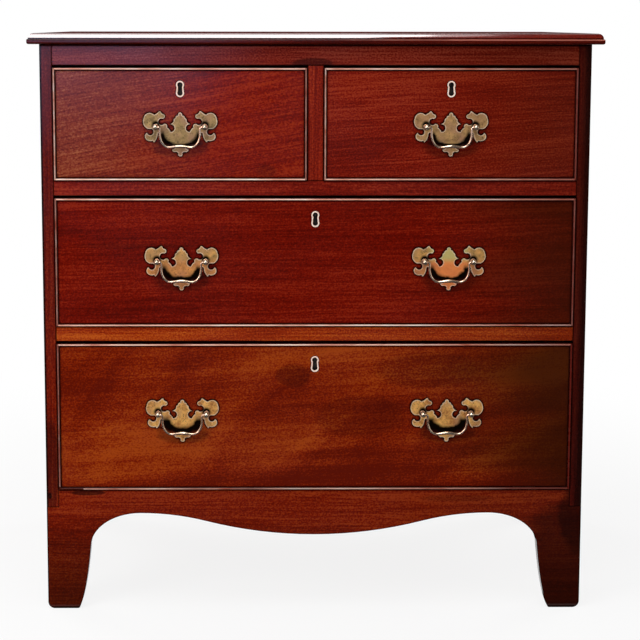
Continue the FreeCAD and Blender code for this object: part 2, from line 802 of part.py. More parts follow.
def tails(name, count, x, floor, height, y, length, root_at_front):
    """The dovetails at one end of a drawer side, set evenly over a height."""
    items = []
    for index in range(count):
        pitch = f"({height}) / {count}"
        root = (f"-{TAIL_ROOT_SHARE / 2} * {pitch}", f"{TAIL_ROOT_SHARE / 2} * {pitch}")
        tip = (f"-{TAIL_TIP_SHARE / 2} * {pitch}", f"{TAIL_TIP_SHARE / 2} * {pitch}")
        near, far = (root, tip) if root_at_front else (tip, root)
        across = ("0", "lining_thickness")
        item = tapered(f"{name}_{index}", across, across, ("0", length), near, far)
        put(item, x, y, f"{floor} + ({index} + 0.5) * {pitch}")
        items.append(item)
    return items


def build_linings(name, drawer):
    """A drawer's sides, back and bottom. Returns the pieces that cut into its front."""
    x, z = drawer["x"], drawer["z"]
    left = f"{x} - {drawer['width']} / 2"
    right = f"{x} + {drawer['width']} / 2 - lining_thickness"
    side_height = f"{drawer['height']} - lining_drop"
    floor = f"{z} + drawer_bottom_lift"
    above_bottom = floor + " + drawer_bottom_thickness"
    back_height = f"{drawer['height']} - drawer_bottom_lift - drawer_bottom_thickness - drawer_back_drop"
    bottom = block(name + "_bottom_board",
                   (left + " + lining_thickness - groove_depth",
                    f"{drawer['width']} - 2 * lining_thickness + 2 * groove_depth"),
                   ("front_rear_y - groove_depth", "drawer_end_y - front_rear_y + groove_depth"),
                   (floor, "drawer_bottom_thickness"))
    front_tails = []
    rear_tails = []
    sides = []
    for end, at in (("left", left), ("right", right)):
        own_front = tails(f"{name}_{end}_tail", drawer["tails"], at, z, side_height,
                          "front_rear_y - tail_length", "tail_length", False)
        own_rear = tails(f"{name}_{end}_rear_tail", drawer["tails"], at, above_bottom, back_height,
                         "lining_end_y", "drawer_back_thickness", True)
        board = block(f"{name}_{end}_board", (at, "lining_thickness"),
                      ("front_rear_y", "lining_end_y - front_rear_y"), (z, side_height))
        whole = fuse(f"{name}_{end}_whole", [board] + own_front + own_rear)
        sides.append(cut(f"{name}_{end}_side", whole, [bottom]))
        front_tails += own_front
        rear_tails += own_rear
    back = block(name + "_back_board", (left, drawer["width"]),
                 ("lining_end_y", "drawer_back_thickness"), (above_bottom, back_height))
    back = cut(name + "_back", back, rear_tails)
    keep(name + "_linings", bundle(name + "_lining_set", sides + [back]))
    keep(name + "_bottom", bottom)
    return front_tails + [bottom]


def keyhole_shape(name, x, z, grow, y, depth):
    """A round above a foot that widens downward to a rounded end, as a solid through a depth."""
    head = rod(name + "_head", f"keyhole_radius + {grow}", depth, x, y, z, "y")
    foot_z = f"{z} - keyhole_length + keyhole_foot_width / 2"
    foot = rod(name + "_foot", f"keyhole_foot_width / 2 + {grow}", depth, x, y, foot_z, "y")
    neck = f"keyhole_neck_width / 2 + {grow}"
    flare = f"{KEYHOLE_FLARE_SHARE} * keyhole_foot_width / 2 + {grow}"
    across = ("0", depth)
    skirt = tapered(name + "_skirt", (f"-({flare})", flare), (f"-({neck})", neck),
                    ("0", "keyhole_length - keyhole_foot_width / 2"), across, across)
    skirt.Placement = Placement(Vector(), Rotation(Vector(1, 0, 0), 90))
    put(skirt, x, f"{y} + {depth}", foot_z)
    return fuse(name, [head, foot, skirt])


def build_lock(name, drawer):
    """Lock, bolt and escutcheon. Returns the pieces that cut into the drawer's front."""
    x = drawer["x"]
    top = f"{drawer['z']} + {drawer['height']}"
    keyhole_z = top + " - keyhole_drop"
    case = block(name + "_lock_case", (f"{x} - lock_width / 2", "lock_width"),
                 ("lock_y", "lock_thickness"), (top + " - lock_height", "lock_height"))
    pin = rod(name + "_drill_pin", "drill_pin_radius", "drill_pin_length", x, "lock_y", keyhole_z, "-y")
    channel = block(name + "_bolt_channel",
                    (f"{x} - bolt_width / 2 - bolt_clearance", "bolt_width + 2 * bolt_clearance"),
                    ("bolt_y - bolt_clearance", "bolt_thickness + 2 * bolt_clearance"),
                    (top + " - bolt_recess - bolt_length - bolt_clearance",
                     "bolt_recess + bolt_length + bolt_clearance"))
    keep(name + "_lock", cut(name + "_lock_cut", fuse(name + "_lock_fuse", [case, pin]), [channel]))
    keep(name + "_lock_bolt", block(name + "_bolt", (f"{x} - bolt_width / 2", "bolt_width"),
                                    ("bolt_y", "bolt_thickness"),
                                    (top + " - bolt_recess - bolt_length", "bolt_length")))
    face = "front_y - escutcheon_proud"
    hole = keyhole_shape(name + "_keyhole", x, keyhole_z, "0", face, "lock_y - (" + face + ")")
    plate = keyhole_shape(name + "_escutcheon_plate", x, keyhole_z, "escutcheon_wall", face,
                          "escutcheon_depth + escutcheon_proud")
    keep(name + "_escutcheon", cut(name + "_escutcheon_cut", plate, [hole]))
    return [case, fuse(name + "_keyhole_cutter", [hole, plate])]


def plate_shape():
    """A back plate lying against the plane y = 0, its posts on the X axis."""
    half = value("plate_half_width")
    height = value("plate_height")
    edges = []
    for side in (-1, 1):
        def place(shares):
            return Vector(side * shares[0] * half, 0, shares[1] * height)

        start = place(PLATE_TOP_SHARES)
        for middle, end in PLATE_OUTLINE_SHARES:
            end = place(end)
            if middle is None:
                edges.append(line(start, end))
            else:
                edges.append(Part.Arc(start, place(middle), end).toShape())
            start = end
    plate = outline_solid(edges, Vector(0, -value("plate_thickness"), 0))
    radius = value("post_shank_radius") + value("post_clearance")
    for side in (-1, 1):
        hole = Part.makeCylinder(radius, value("plate_thickness"),
                                 Vector(side * value("post_spacing") / 2, 0, 0), Vector(0, -1, 0))
        plate = plate.cut(hole)
    return plate


def bail_shape():
    """A swan-neck bail hanging from the X axis, as a wire along lines and tangent arcs."""
    span = value("bail_half_span")
    bend = value("bail_bend_radius")
    corner = value("bail_corner_radius")
    drop = value("bail_drop")
    corner_x = span - corner
    corner_z = corner - drop
    turn = 2 * math.atan(value("bail_rise") / corner_x)
    hump = corner_x / math.sin(turn) - corner
    hump_z = value("bail_rise") - drop - hump
    wire_end = value("post_spacing") / 2 + value("pintle_tail")
    edges = []
    for side in (-1, 1):
        def at(x, z):
            return Vector(side * x, 0, z)

        def round_at(x, z, radius, angle):
            return at(x + radius * math.sin(angle), z + radius * math.cos(angle))

        quarter = math.pi / 2
        edges += [
            line(at(wire_end, 0), at(span + bend, 0)),
            Part.Arc(round_at(span + bend, -bend, bend, 0),
                     round_at(span + bend, -bend, bend, -quarter / 2),
                     round_at(span + bend, -bend, bend, -quarter)).toShape(),
            line(at(span, -bend), at(span, corner_z)),
            Part.Arc(round_at(corner_x, corner_z, corner, quarter),
                     round_at(corner_x, corner_z, corner, 3 * quarter / 2),
                     round_at(corner_x, corner_z, corner, 2 * quarter + turn)).toShape(),
        ]
    edges.append(Part.Arc(Vector(-hump * math.sin(turn), 0, hump_z + hump * math.cos(turn)),
                          Vector(0, 0, hump_z + hump),
                          Vector(hump * math.sin(turn), 0, hump_z + hump * math.cos(turn))).toShape())
    path = Part.Wire(Part.__sortEdges__(edges))
    start = Vector(-wire_end, 0, 0)
    section = Part.Wire(Part.makeCircle(value("bail_wire_radius"), start, Vector(1, 0, 0)))
    return path.makePipeShell([section], True, False)


def build_handle(name, drawer, suffix, x):
    """One handle: its plate, its posts with their nuts, and its bail."""
    tag = name + "_handle" + suffix
    z = f"{drawer['z']} + {drawer['pivot_height']}"
    plate = put(solid(tag + "_plate", plate_shape()), x, "front_y", z)
    bail = put(solid(tag + "_bail", bail_shape()), x, "pivot_y", z)
    keep(name + "_bail" + suffix, bail)
    posts = []
    holes = []
    for end, at in (("a", f"{x} - post_spacing / 2"), ("b", f"{x} + post_spacing / 2")):
        post = tag + "_post_" + end
        inside = "front_rear_y + nut_thickness + nut_tail"
        shank = rod(post + "_shank", "post_shank_radius", inside + " - front_y + plate_thickness",
                    at, inside, z, "-y")
        collar = rod(post + "_collar", "post_collar_radius", "post_collar_height",
                     at, "front_y - plate_thickness", z, "-y")
        neck = rod(post + "_neck", "post_neck_radius", "pivot_standoff",
                   at, "front_y - plate_thickness", z, "-y")
        ball = bind(doc.addObject("Part::Sphere", post + "_ball"), {"Radius": "post_ball_radius"})
        put(ball, at, "pivot_y", z)
        eye = rod(post + "_eye", "bail_wire_radius + pintle_clearance", "2 * post_ball_radius",
                  at + " - post_ball_radius", "pivot_y", z, "x")
        posts.append(cut(post, fuse(post + "_whole", [shank, collar, neck, ball]), [eye]))
        nut = doc.addObject("Part::Prism", post + "_nut_blank")
        nut.Polygon = 6
        nut.Placement = Placement(Vector(), AXIS_TURNS["y"])
        bind(nut, {"Circumradius": "nut_radius", "Height": "nut_thickness"})
        put(nut, at, "front_rear_y", z)
        bore = rod(post + "_nut_bore", "post_shank_radius + post_clearance", "nut_thickness",
                   at, "front_rear_y", z, "y")
        posts.append(cut(post + "_nut", nut, [bore]))
        holes.append(rod(post + "_hole", "post_shank_radius + post_clearance", "front_thickness",
                         at, "front_y", z, "y"))
    return plate, posts, holes


def build_drawer(name, drawer):
    """One drawer with its front, beads, linings, lock and handles."""
    x, z, width, height = drawer["x"], drawer["z"], drawer["width"], drawer["height"]
    field = block(name + "_field",
                  (f"{x} - {width} / 2 + bead_thickness", f"{width} - 2 * bead_thickness"),
                  ("front_y", "bead_depth"),
                  (z + " + bead_thickness", f"{height} - 2 * bead_thickness"))
    core = block(name + "_core", (f"{x} - {width} / 2", width),
                 ("front_y + bead_depth", "front_thickness - bead_depth"), (z, height))
    build_beads(name, drawer)
    cutters = build_linings(name, drawer) + build_lock(name, drawer)
    plates = []
    posts = []
    for suffix, at in drawer["handles"].items():
        plate, own_posts, holes = build_handle(name, drawer, suffix, at)
        plates.append(plate)
        posts += own_posts
        cutters += holes
    single = len(plates) == 1
    if single:
        keep(name + "_backplate", plates[0])
    else:
        keep(name + "_backplates", bundle(name + "_plate_set", plates))
    keep(name + "_posts", bundle(name + "_post_set", posts))
    front = fuse(name + "_front_whole", [field, core])
    keep(name + "_front", cut(name + "_front_cut", front, [fuse(name + "_front_cutters", cutters)]))


def check_document():
    for item in doc.Objects:
        if "Invalid" in item.State or "Error" in item.State:
            raise RuntimeError(f"{item.Label} failed: {item.State}")
    for label, item in pieces.items():
        if item.Shape.isNull() or not item.Shape.isValid() or not item.Shape.Solids:
            raise RuntimeError(f"{label} has no valid solid")


def write_pieces():
    os.makedirs("parts", exist_ok=True)
    for label, item in pieces.items():
        item.Shape.exportStep(f"parts/{label}.step")


fill_sheet()
holes_in_rails, holes_in_top = build_screws()
build_top(holes_in_top)
build_sides(build_rails(holes_in_rails))
build_back()
build_runners()
build_stops()
build_base()
build_blocks()
for drawer_name, drawer_plan in DRAWERS.items():
    build_drawer(drawer_name, drawer_plan)
doc.recompute()
check_document()
write_pieces()
print(len(pieces), "pieces")
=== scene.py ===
"""The looks of a bachelor's chest of drawers: polished mahogany, aged brasses, light and camera."""

import math

import bpy
from mathutils import Matrix, Vector


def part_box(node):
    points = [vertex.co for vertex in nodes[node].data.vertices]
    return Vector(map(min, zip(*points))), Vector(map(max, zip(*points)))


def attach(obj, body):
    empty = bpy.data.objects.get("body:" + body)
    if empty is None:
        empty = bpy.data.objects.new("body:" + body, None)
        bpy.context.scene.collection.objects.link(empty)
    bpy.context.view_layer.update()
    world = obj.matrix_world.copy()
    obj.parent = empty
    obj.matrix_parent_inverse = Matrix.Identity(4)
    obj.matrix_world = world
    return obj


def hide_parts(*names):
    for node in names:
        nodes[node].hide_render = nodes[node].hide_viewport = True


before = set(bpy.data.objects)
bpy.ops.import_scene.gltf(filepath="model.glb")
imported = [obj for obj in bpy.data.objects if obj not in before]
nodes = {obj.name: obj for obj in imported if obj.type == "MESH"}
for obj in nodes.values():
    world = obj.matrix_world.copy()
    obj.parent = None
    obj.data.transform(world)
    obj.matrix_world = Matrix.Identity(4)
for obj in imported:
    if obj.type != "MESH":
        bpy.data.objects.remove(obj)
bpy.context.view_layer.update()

MM = 0.001
DRAWERS = ("left_drawer", "right_drawer", "middle_drawer", "lower_drawer")

# The photograph's camera: its place in metres, its turns in radians, and its focal length and sideways
# shift in pixels of a square frame.
FRONT_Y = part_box("side_left")[0].y
CAMERA_PLACE = Vector((-0.0729, FRONT_Y - 2.5608, 0.7751))
CAMERA_YAW = -0.01055
CAMERA_PITCH = 0.14928
CAMERA_ROLL = 0.00095
FOCAL_PIXELS = 1975
SHIFT_PIXELS = 40
FRAME_PIXELS = 640
SENSOR_MM = 36

# The handles, in metres: where their middles are from the middle of the chest, half the spacing of
# their posts, and the half width, drop and wire of the bails.
HANDLE_X = 0.17475
POST_SPAN = 0.03175
BAIL_SPAN = 0.0259
BAIL_DROP = 0.0256
WIRE_RADIUS = 0.0016

# The cast bails, in metres: the radii of their arms, of the ends of the grip and of its middle, the bend
# at the pivots, the drop at which the arms start to curve, half the grip's length and its rise.
ARM_RADIUS = 0.0014
GRIP_RADIUS = ARM_RADIUS * 1.06
BAIL_MIDDLE_RADIUS = 0.0022
BEND_RADIUS = 0.002
ARM_DROP = 0.0085
GRIP_HALF = 0.014
GRIP_RISE = 0.0012

# How finely the cast bails are divided: in the bends, the curved arms, half the grip and round the wire.
BEND_STEPS = 5
CURVE_STEPS = 14
GRIP_STEPS = 12
BAIL_SIDES = 14
BAIL_BODIES = {
    "left_drawer_bail": "left_bail", "right_drawer_bail": "right_bail",
    "middle_drawer_bail_left": "middle_left_bail", "middle_drawer_bail_right": "middle_right_bail",
    "lower_drawer_bail_left": "lower_left_bail", "lower_drawer_bail_right": "lower_right_bail",
}

# The joints between the back boards, and half the thickness of the tongues in them, in metres.
BACK_BOARDS = 5
BACK_GAP = 0.0008
TONGUE_HALF = 0.001

# The top's moulding, in metres: its depth, and the heights over its under side between which the painted
# highlight on the fillet's edge starts and ends, the painted shade on the fillet and under side ends and
# the waxed ovolo starts.
MOULDING_DEPTH = 0.011
ARRIS_START = (0.0046, 0.0054)
ARRIS_END = (0.0063, 0.0066)
FILLET_SHADE_END = (0.0062, 0.0068)
OVOLO_START = (0.0069, 0.0076)

# The beads, in metres: where the upright ones end inward, where the lower one ends upward, and how far
# back the crest's painted highlight fades.
BEAD_WIDTH = (0.0025, 0.0029)
BEAD_FOOT = (0.004, 0.005)
CREST_FADE = (0.00008, 0.00036)

# The painted shadows under a handle: how far below its posts, half sizes in metres, and how dark.
HANDLE_SHADOWS = ((0.026, (0.031, 0.012), 0.45), (0.019, (0.025, 0.008), 0.85))

# The dirt and painted shadow on a back plate: how square the bail's outline is and where, as shares of that
# outline, they end, and in metres how far under the posts they start, how high the spot over each post is
# and where that fades.
BAIL_SQUARENESS = 2.6
BEHIND_END = (1.0, 1.15)
BEHIND_START = (0.002, 0.01)
POST_SPOT_RISE = 0.0025
POST_SPOT_FADE = (0.0035, 0.0075)

# The painted orange and green glint over lacquer that has turned, in metres: between which heights from
# the posts it goes from orange to green, and how far from the handle's middle it fades.
GLINT_TURN = (-0.004, 0.006)
GLINT_FADE = (0.02, 0.029)

# Where the mahogany deepens, partly painted shade, in metres: to the right, towards the floor and close
# behind the front.
DUSK_START = (0.25, 0.5)
LOW_END = (0.0, 0.17)
SHADE_DEPTH = (0.001, 0.005)

# Where the painted highlights change, in metres: the beads' crests dull with painted shade and the top's
# fillet brightens.
CREST_SHADE_START = (0.1, 0.4)
ARRIS_HIGHLIGHT_START = (0.15, 0.4)

# How wide the edges of the boards, timbers and plates are rounded, in metres.
BOARD_ROUNDING = 0.0007
PINE_ROUNDING = 0.0006
OAK_ROUNDING = 0.0005
PLATE_ROUNDING = 0.0004

# The first of the seeds that give the pieces of each kind their own stretches of figure.
BOARD_SEED = 1
TOP_SEED = 12
PINE_SEED = 20
FRONT_SEED = 30
OAK_SEED = 38
ESCUTCHEON_SEED = 40
POST_SEED = 42
PLATE_SEED = 43

# Where a noise, which is mostly between these, takes a finish from one state to the other.
NOISE_LIMITS = (0.3, 0.7)

# How a wood's dark and light colours differ from its middle one, in red, green and blue.
DARKER = (0.74, 0.5, 0.4)
LIGHTER = (1.24, 1.75, 1.9)
VEIL = (0, 8, 8)


def shown(red, green, blue):
    """A colour as a picture shows it, from 0 to 255, as the linear values that a shader takes."""
    linear = []
    for part in (red, green, blue):
        share = part / 255
        linear.append(share / 12.92 if share <= 0.04045 else ((share + 0.055) / 1.055) ** 2.4)
    return (*linear, 1)


def wood_tones(*middle):
    """A wood's dark, middle and light colours, from the middle one as a picture shows it."""
    dark = [part * share for part, share in zip(middle, DARKER)]
    light = [part * share + veil for part, share, veil in zip(middle, LIGHTER, VEIL)]
    return shown(*dark), shown(*middle), shown(*light)


# The mahogany's tones; the colour it deepens to, partly painted shade; the colour of its grime and painted
# shade; and the painted highlight on the edge of the top's fillet.
ROSE = wood_tones(120, 23, 9)
RED = wood_tones(110, 15, 3)
FOXY = wood_tones(138, 33, 11)
RUDDY = wood_tones(118, 19, 3)
# Paler wood with a painted sheen over it.
PALE_WOOD_AND_SHEEN = wood_tones(130, 59, 29)
WARM = wood_tones(124, 31, 3)
BROWN = wood_tones(115, 23, 3)
AMBER = wood_tones(147, 43, 7)
DEEP = wood_tones(92, 16, 6)
WINE = wood_tones(112, 26, 14)
DUSK = shown(38, 15, 2)
GRIME_AND_SHADE = shown(20, 5, 3)
ARRIS_HIGHLIGHT = shown(196, 116, 98)

# The beads' crest, pale from rubbing and a painted highlight; the painted shade that dulls it to the right,
# at the foot with some wear, and at the sides; what dulls it where it is scraped; and the wood beside it.
CREST_HIGHLIGHT_TONES = (shown(196, 108, 82), shown(244, 190, 168), shown(255, 238, 224))
CREST_SHADE = shown(120, 30, 16)
CREST_FOOT = shown(84, 24, 12)
CREST_SIDE = shown(96, 22, 12)
CREST_SCRAPED = shown(60, 16, 6)
BEAD_FLANK = shown(70, 14, 6)

# The inside timbers.
PINE = (shown(108, 70, 36), shown(146, 104, 60), shown(172, 130, 82))
OAK = (shown(120, 80, 46), shown(160, 112, 70), shown(190, 144, 98))
KNOT = shown(66, 34, 16)
DUST = shown(34, 20, 12)

# The metals, with the painted highlights, glint, shadow and shade on the brass.
ESCUTCHEON_TONES = (shown(246, 238, 220), shown(255, 252, 244))
POST_TONES = (shown(150, 138, 116), shown(226, 216, 192))
BRASS_RIM_WEAR_AND_HIGHLIGHT = shown(240, 178, 150)
PLATE_RIM_WEAR_AND_HIGHLIGHT = shown(255, 222, 196)
PLATE_FLANK_SHADE = shown(18, 8, 4)
PLATE_PIT = shown(58, 34, 16)
PLATE_STAIN = shown(150, 100, 84)
PLATE_DIRT_AND_SHADOW = shown(12, 6, 3)
ORANGE_LACQUER_AND_GLINT = shown(250, 138, 70)
GREEN_LACQUER_AND_GLINT = shown(206, 196, 116)
TARNISH = shown(26, 15, 8)
IRON_TONES = (shown(52, 47, 44), shown(84, 76, 70), shown(98, 60, 38))
IRON_GRIME = shown(20, 15, 12)

# Where the colour ramps take their colours, by the noise that they follow.
FIGURE_STOPS = (0.4, 0.5, 0.6)
CREST_STOPS = (0.3, 0.5, 0.66)
TIMBER_STOPS = (0.33, 0.5, 0.67)
BRASS_STOPS = (0.34, 0.66)
IRON_STOPS = (0.35, 0.55, 0.72)

# Stains and knots of the fronts, and painted shade at the feet of the base front: x, z, half width and
# half height in millimetres, and how dark.
MARKS_AND_SHADE = {
    "top_rail_front": ((-4, 724, 22, 6, 0.6), (-38, 718, 16, 3, 0.3)),
    "left_drawer_front": ((-64, 585, 12, 7, 0.3),),
    "middle_drawer_front": ((-88, 385, 11, 5, 0.4), (-230, 487, 70, 3, 0.25)),
    "lower_drawer_front": ((-28, 316, 20, 13, 0.32), (60, 262, 50, 24, 0.2), (150, 322, 60, 20, 0.22)),
    # The patches at x 335, 352 and -335 are painted shade at the feet; the others are stains.
    "base_front": ((-300, 158, 20, 3, 0.7), (190, 150, 45, 4, 0.25), (335, 45, 60, 80, 0.6),
                   (352, 125, 22, 45, 0.6), (-335, 35, 55, 55, 0.25)),
    "side_left": ((-351, 154, 2, 4, 0.8), (-348, 195, 9, 50, 0.45)),
}

# Front edges darkened with painted shade: from one X to another, in metres, and how dark at each.
SHADED_FRONT_EDGES = {"side_left": (-0.3518, -0.3538, 0.0, 0.92), "side_right": (0.337, 0.353, 0.35, 0.92)}

# Boards with a second tone: its colours, the axis along which it fades, where it starts to and ends, in
# metres, and its share. The left drawer's pale tone is partly paler wood and partly a painted sheen.
SECOND_TONES = {
    "side_left": (BROWN, "Z", 0.3, 0.7, 0.9),
    "left_drawer_front": (PALE_WOOD_AND_SHEEN, "X", -0.3, -0.05, 0.5),
}


class Graph:
    """A material's nodes, with short ways to add the ones that the finishes are made of."""

    # Which of X, Y and Z run along the grain, across it and through the board.
    GRAIN_ORDERS = {"X": (0, 2, 1), "Y": (1, 2, 0), "Z": (2, 0, 1)}

    def __init__(self, name):
        self.material = bpy.data.materials.get(name) or bpy.data.materials.new(name)
        self.material.use_nodes = True
        self.tree = self.material.node_tree
        self.shader = self.tree.nodes["Principled BSDF"]

    def feed(self, socket, value):
        """Puts a number, a colour or another node's output into a socket."""
        if isinstance(value, bpy.types.NodeSocket):
            self.tree.links.new(value, socket)
        else:
            socket.default_value = value

    def add(self, kind, **inputs):
        """A new node with its inputs fed."""
        node = self.tree.nodes.new("ShaderNode" + kind)
        for name, value in inputs.items():
            self.feed(node.inputs[name], value)
        return node

    def finish(self, **inputs):
        """Sets the shader's own sockets, whose names have spaces where these have underscores."""
        for name, value in inputs.items():
            self.feed(self.shader.inputs[name.replace("_", " ")], value)
        return self.material

    def sum(self, operation, *values):
        """One step of arithmetic."""
        node = self.add("Math")
        node.operation = operation
        for socket, value in zip(node.inputs, values):
            self.feed(socket, value)
        return node.outputs[0]

    def vector(self, operation, *values):
        """One step of arithmetic with vectors."""
        node = self.add("VectorMath")
        node.operation = operation
        for socket, value in zip(node.inputs, values):
            self.feed(socket, value)
        return node.outputs["Value" if operation == "DOT_PRODUCT" else "Vector"]

    def weigh(self, *pairs):
        """The sum of (share, output) pairs."""
        total = self.sum("MULTIPLY", pairs[0][1], pairs[0][0])
        for share, output in pairs[1:]:
            total = self.sum("MULTIPLY_ADD", output, share, total)
        return total

    def waver(self, value, noise, reach):
        """A value that a noise shifts, by a reach at most."""
        return self.sum("MULTIPLY_ADD", noise, reach, value)

    def squares(self, first, second):
        """The sum of the squares of two values."""
        return self.sum("ADD", self.sum("MULTIPLY", first, first), self.sum("MULTIPLY", second, second))

    def span(self, value, low, high, to_low=0.0, to_high=1.0):
        """A smooth step of a value between two limits."""
        node = self.add("MapRange", Value=value)
        node.interpolation_type = "SMOOTHSTEP"
        limits = {"From Min": low, "From Max": high, "To Min": to_low, "To Max": to_high}
        for name, limit in limits.items():
            node.inputs[name].default_value = limit
        return node.outputs["Result"]

    def mix(self, share, first, second):
        """Two colours mixed, with a share of the second."""
        node = self.add("Mix")
        node.data_type = "RGBA"
        # The sockets for colours come after those for numbers and vectors.
        for index, value in ((0, share), (6, first), (7, second)):
            self.feed(node.inputs[index], value)
        return node.outputs[2]

    def ramp(self, value, places, colours):
        """A colour ramp with colours at places."""
        node = self.add("ValToRGB", Fac=value)
        elements = node.color_ramp.elements
        while len(elements) < len(places):
            elements.new(1)
        for element, place, colour in zip(elements, places, colours):
            element.position = place
            element.color = colour
        return node.outputs["Color"]

    def place(self):
        return self.add("TexCoord").outputs["Object"]

    def parts(self):
        """X, Y and Z of the place."""
        return self.add("SeparateXYZ", Vector=self.place()).outputs

    def facing(self):
        """The surface's direction."""
        return self.add("NewGeometry").outputs["Normal"]

    def grain(self, axis, seed, slant=0.0):
        """Coordinates that run along, across and through the grain, in a stretch of tree of their own.
        slant is how far the grain climbs, in degrees."""
        parts = self.parts()
        along, across, through = (parts[index] for index in self.GRAIN_ORDERS[axis])
        turned = self.add("CombineXYZ", X=along, Y=across, Z=through).outputs[0]
        if slant:
            rotation = self.add("VectorRotate", Vector=turned, Axis=(0, 0, 1), Angle=math.radians(-slant))
            turned = rotation.outputs[0]
        return self.vector("ADD", turned, (seed * 1.37, seed * 0.61, seed * 0.83))

    def wander(self, straight, per_metre, reach):
        """Grain that leaves the straight by up to a reach in metres, that often to the metre along, across
        and through."""
        drift = self.sum("MULTIPLY", self.noise(straight, per_metre), reach)
        return self.vector("ADD", straight, self.add("CombineXYZ", Y=drift, Z=drift).outputs[0])

    def noise(self, where, per_metre, detail=2.0, roughness=0.5, distortion=0.0):
        """Noise with that many features to the metre, along, across and through."""
        stretched = self.vector("MULTIPLY", where, per_metre)
        node = self.add("TexNoise", Vector=stretched, Scale=1.0, Detail=detail,
                        Roughness=roughness, Distortion=distortion)
        return node.outputs[0]

    def crevices(self, reach, samples=6):
        """1 in the open and 0 deep in a corner, within a reach in metres."""
        node = self.add("AmbientOcclusion", Distance=reach)
        node.samples = samples
        return node.outputs["AO"]

    def edges(self, radius, flat=0.999, sharp=0.95):
        """0 on the flat and 1 at an edge, within a radius in metres. flat and sharp are how alike the
        surface's direction and its rounded one are at those two."""
        bevel = self.add("Bevel", Radius=radius)
        bevel.samples = 4
        likeness = self.vector("DOT_PRODUCT", bevel.outputs[0], self.facing())
        return self.span(likeness, flat, sharp)

    def corners(self, flat=0.99, sharp=0.95):
        """1 on the rounded corners of a square board and 0 on its faces. flat and sharp are how nearly
        the surface faces along an axis at those two."""
        facing = self.vector("ABSOLUTE", self.facing())
        x, y, z = self.add("SeparateXYZ", Vector=facing).outputs
        return self.span(self.sum("MAXIMUM", self.sum("MAXIMUM", x, y), z), flat, sharp)

    def spot(self, sideways, upward, middle, half, uneven):
        """1 in an oval on the front and 0 outside it. middle and half are (x, z) in metres."""
        across = self.sum("DIVIDE", self.sum("SUBTRACT", sideways, middle[0]), half[0])
        up = self.sum("DIVIDE", self.sum("SUBTRACT", upward, middle[1]), half[1])
        reach = self.waver(self.squares(across, up), uneven, 1.6)
        return self.span(reach, 0.9, 1.8, 1.0, 0.0)

    def bump(self, height, depth):
        """A normal from a height, whose full range is a depth in metres."""
        return self.add("Bump", Distance=depth, Height=height, Strength=1.0).outputs["Normal"]


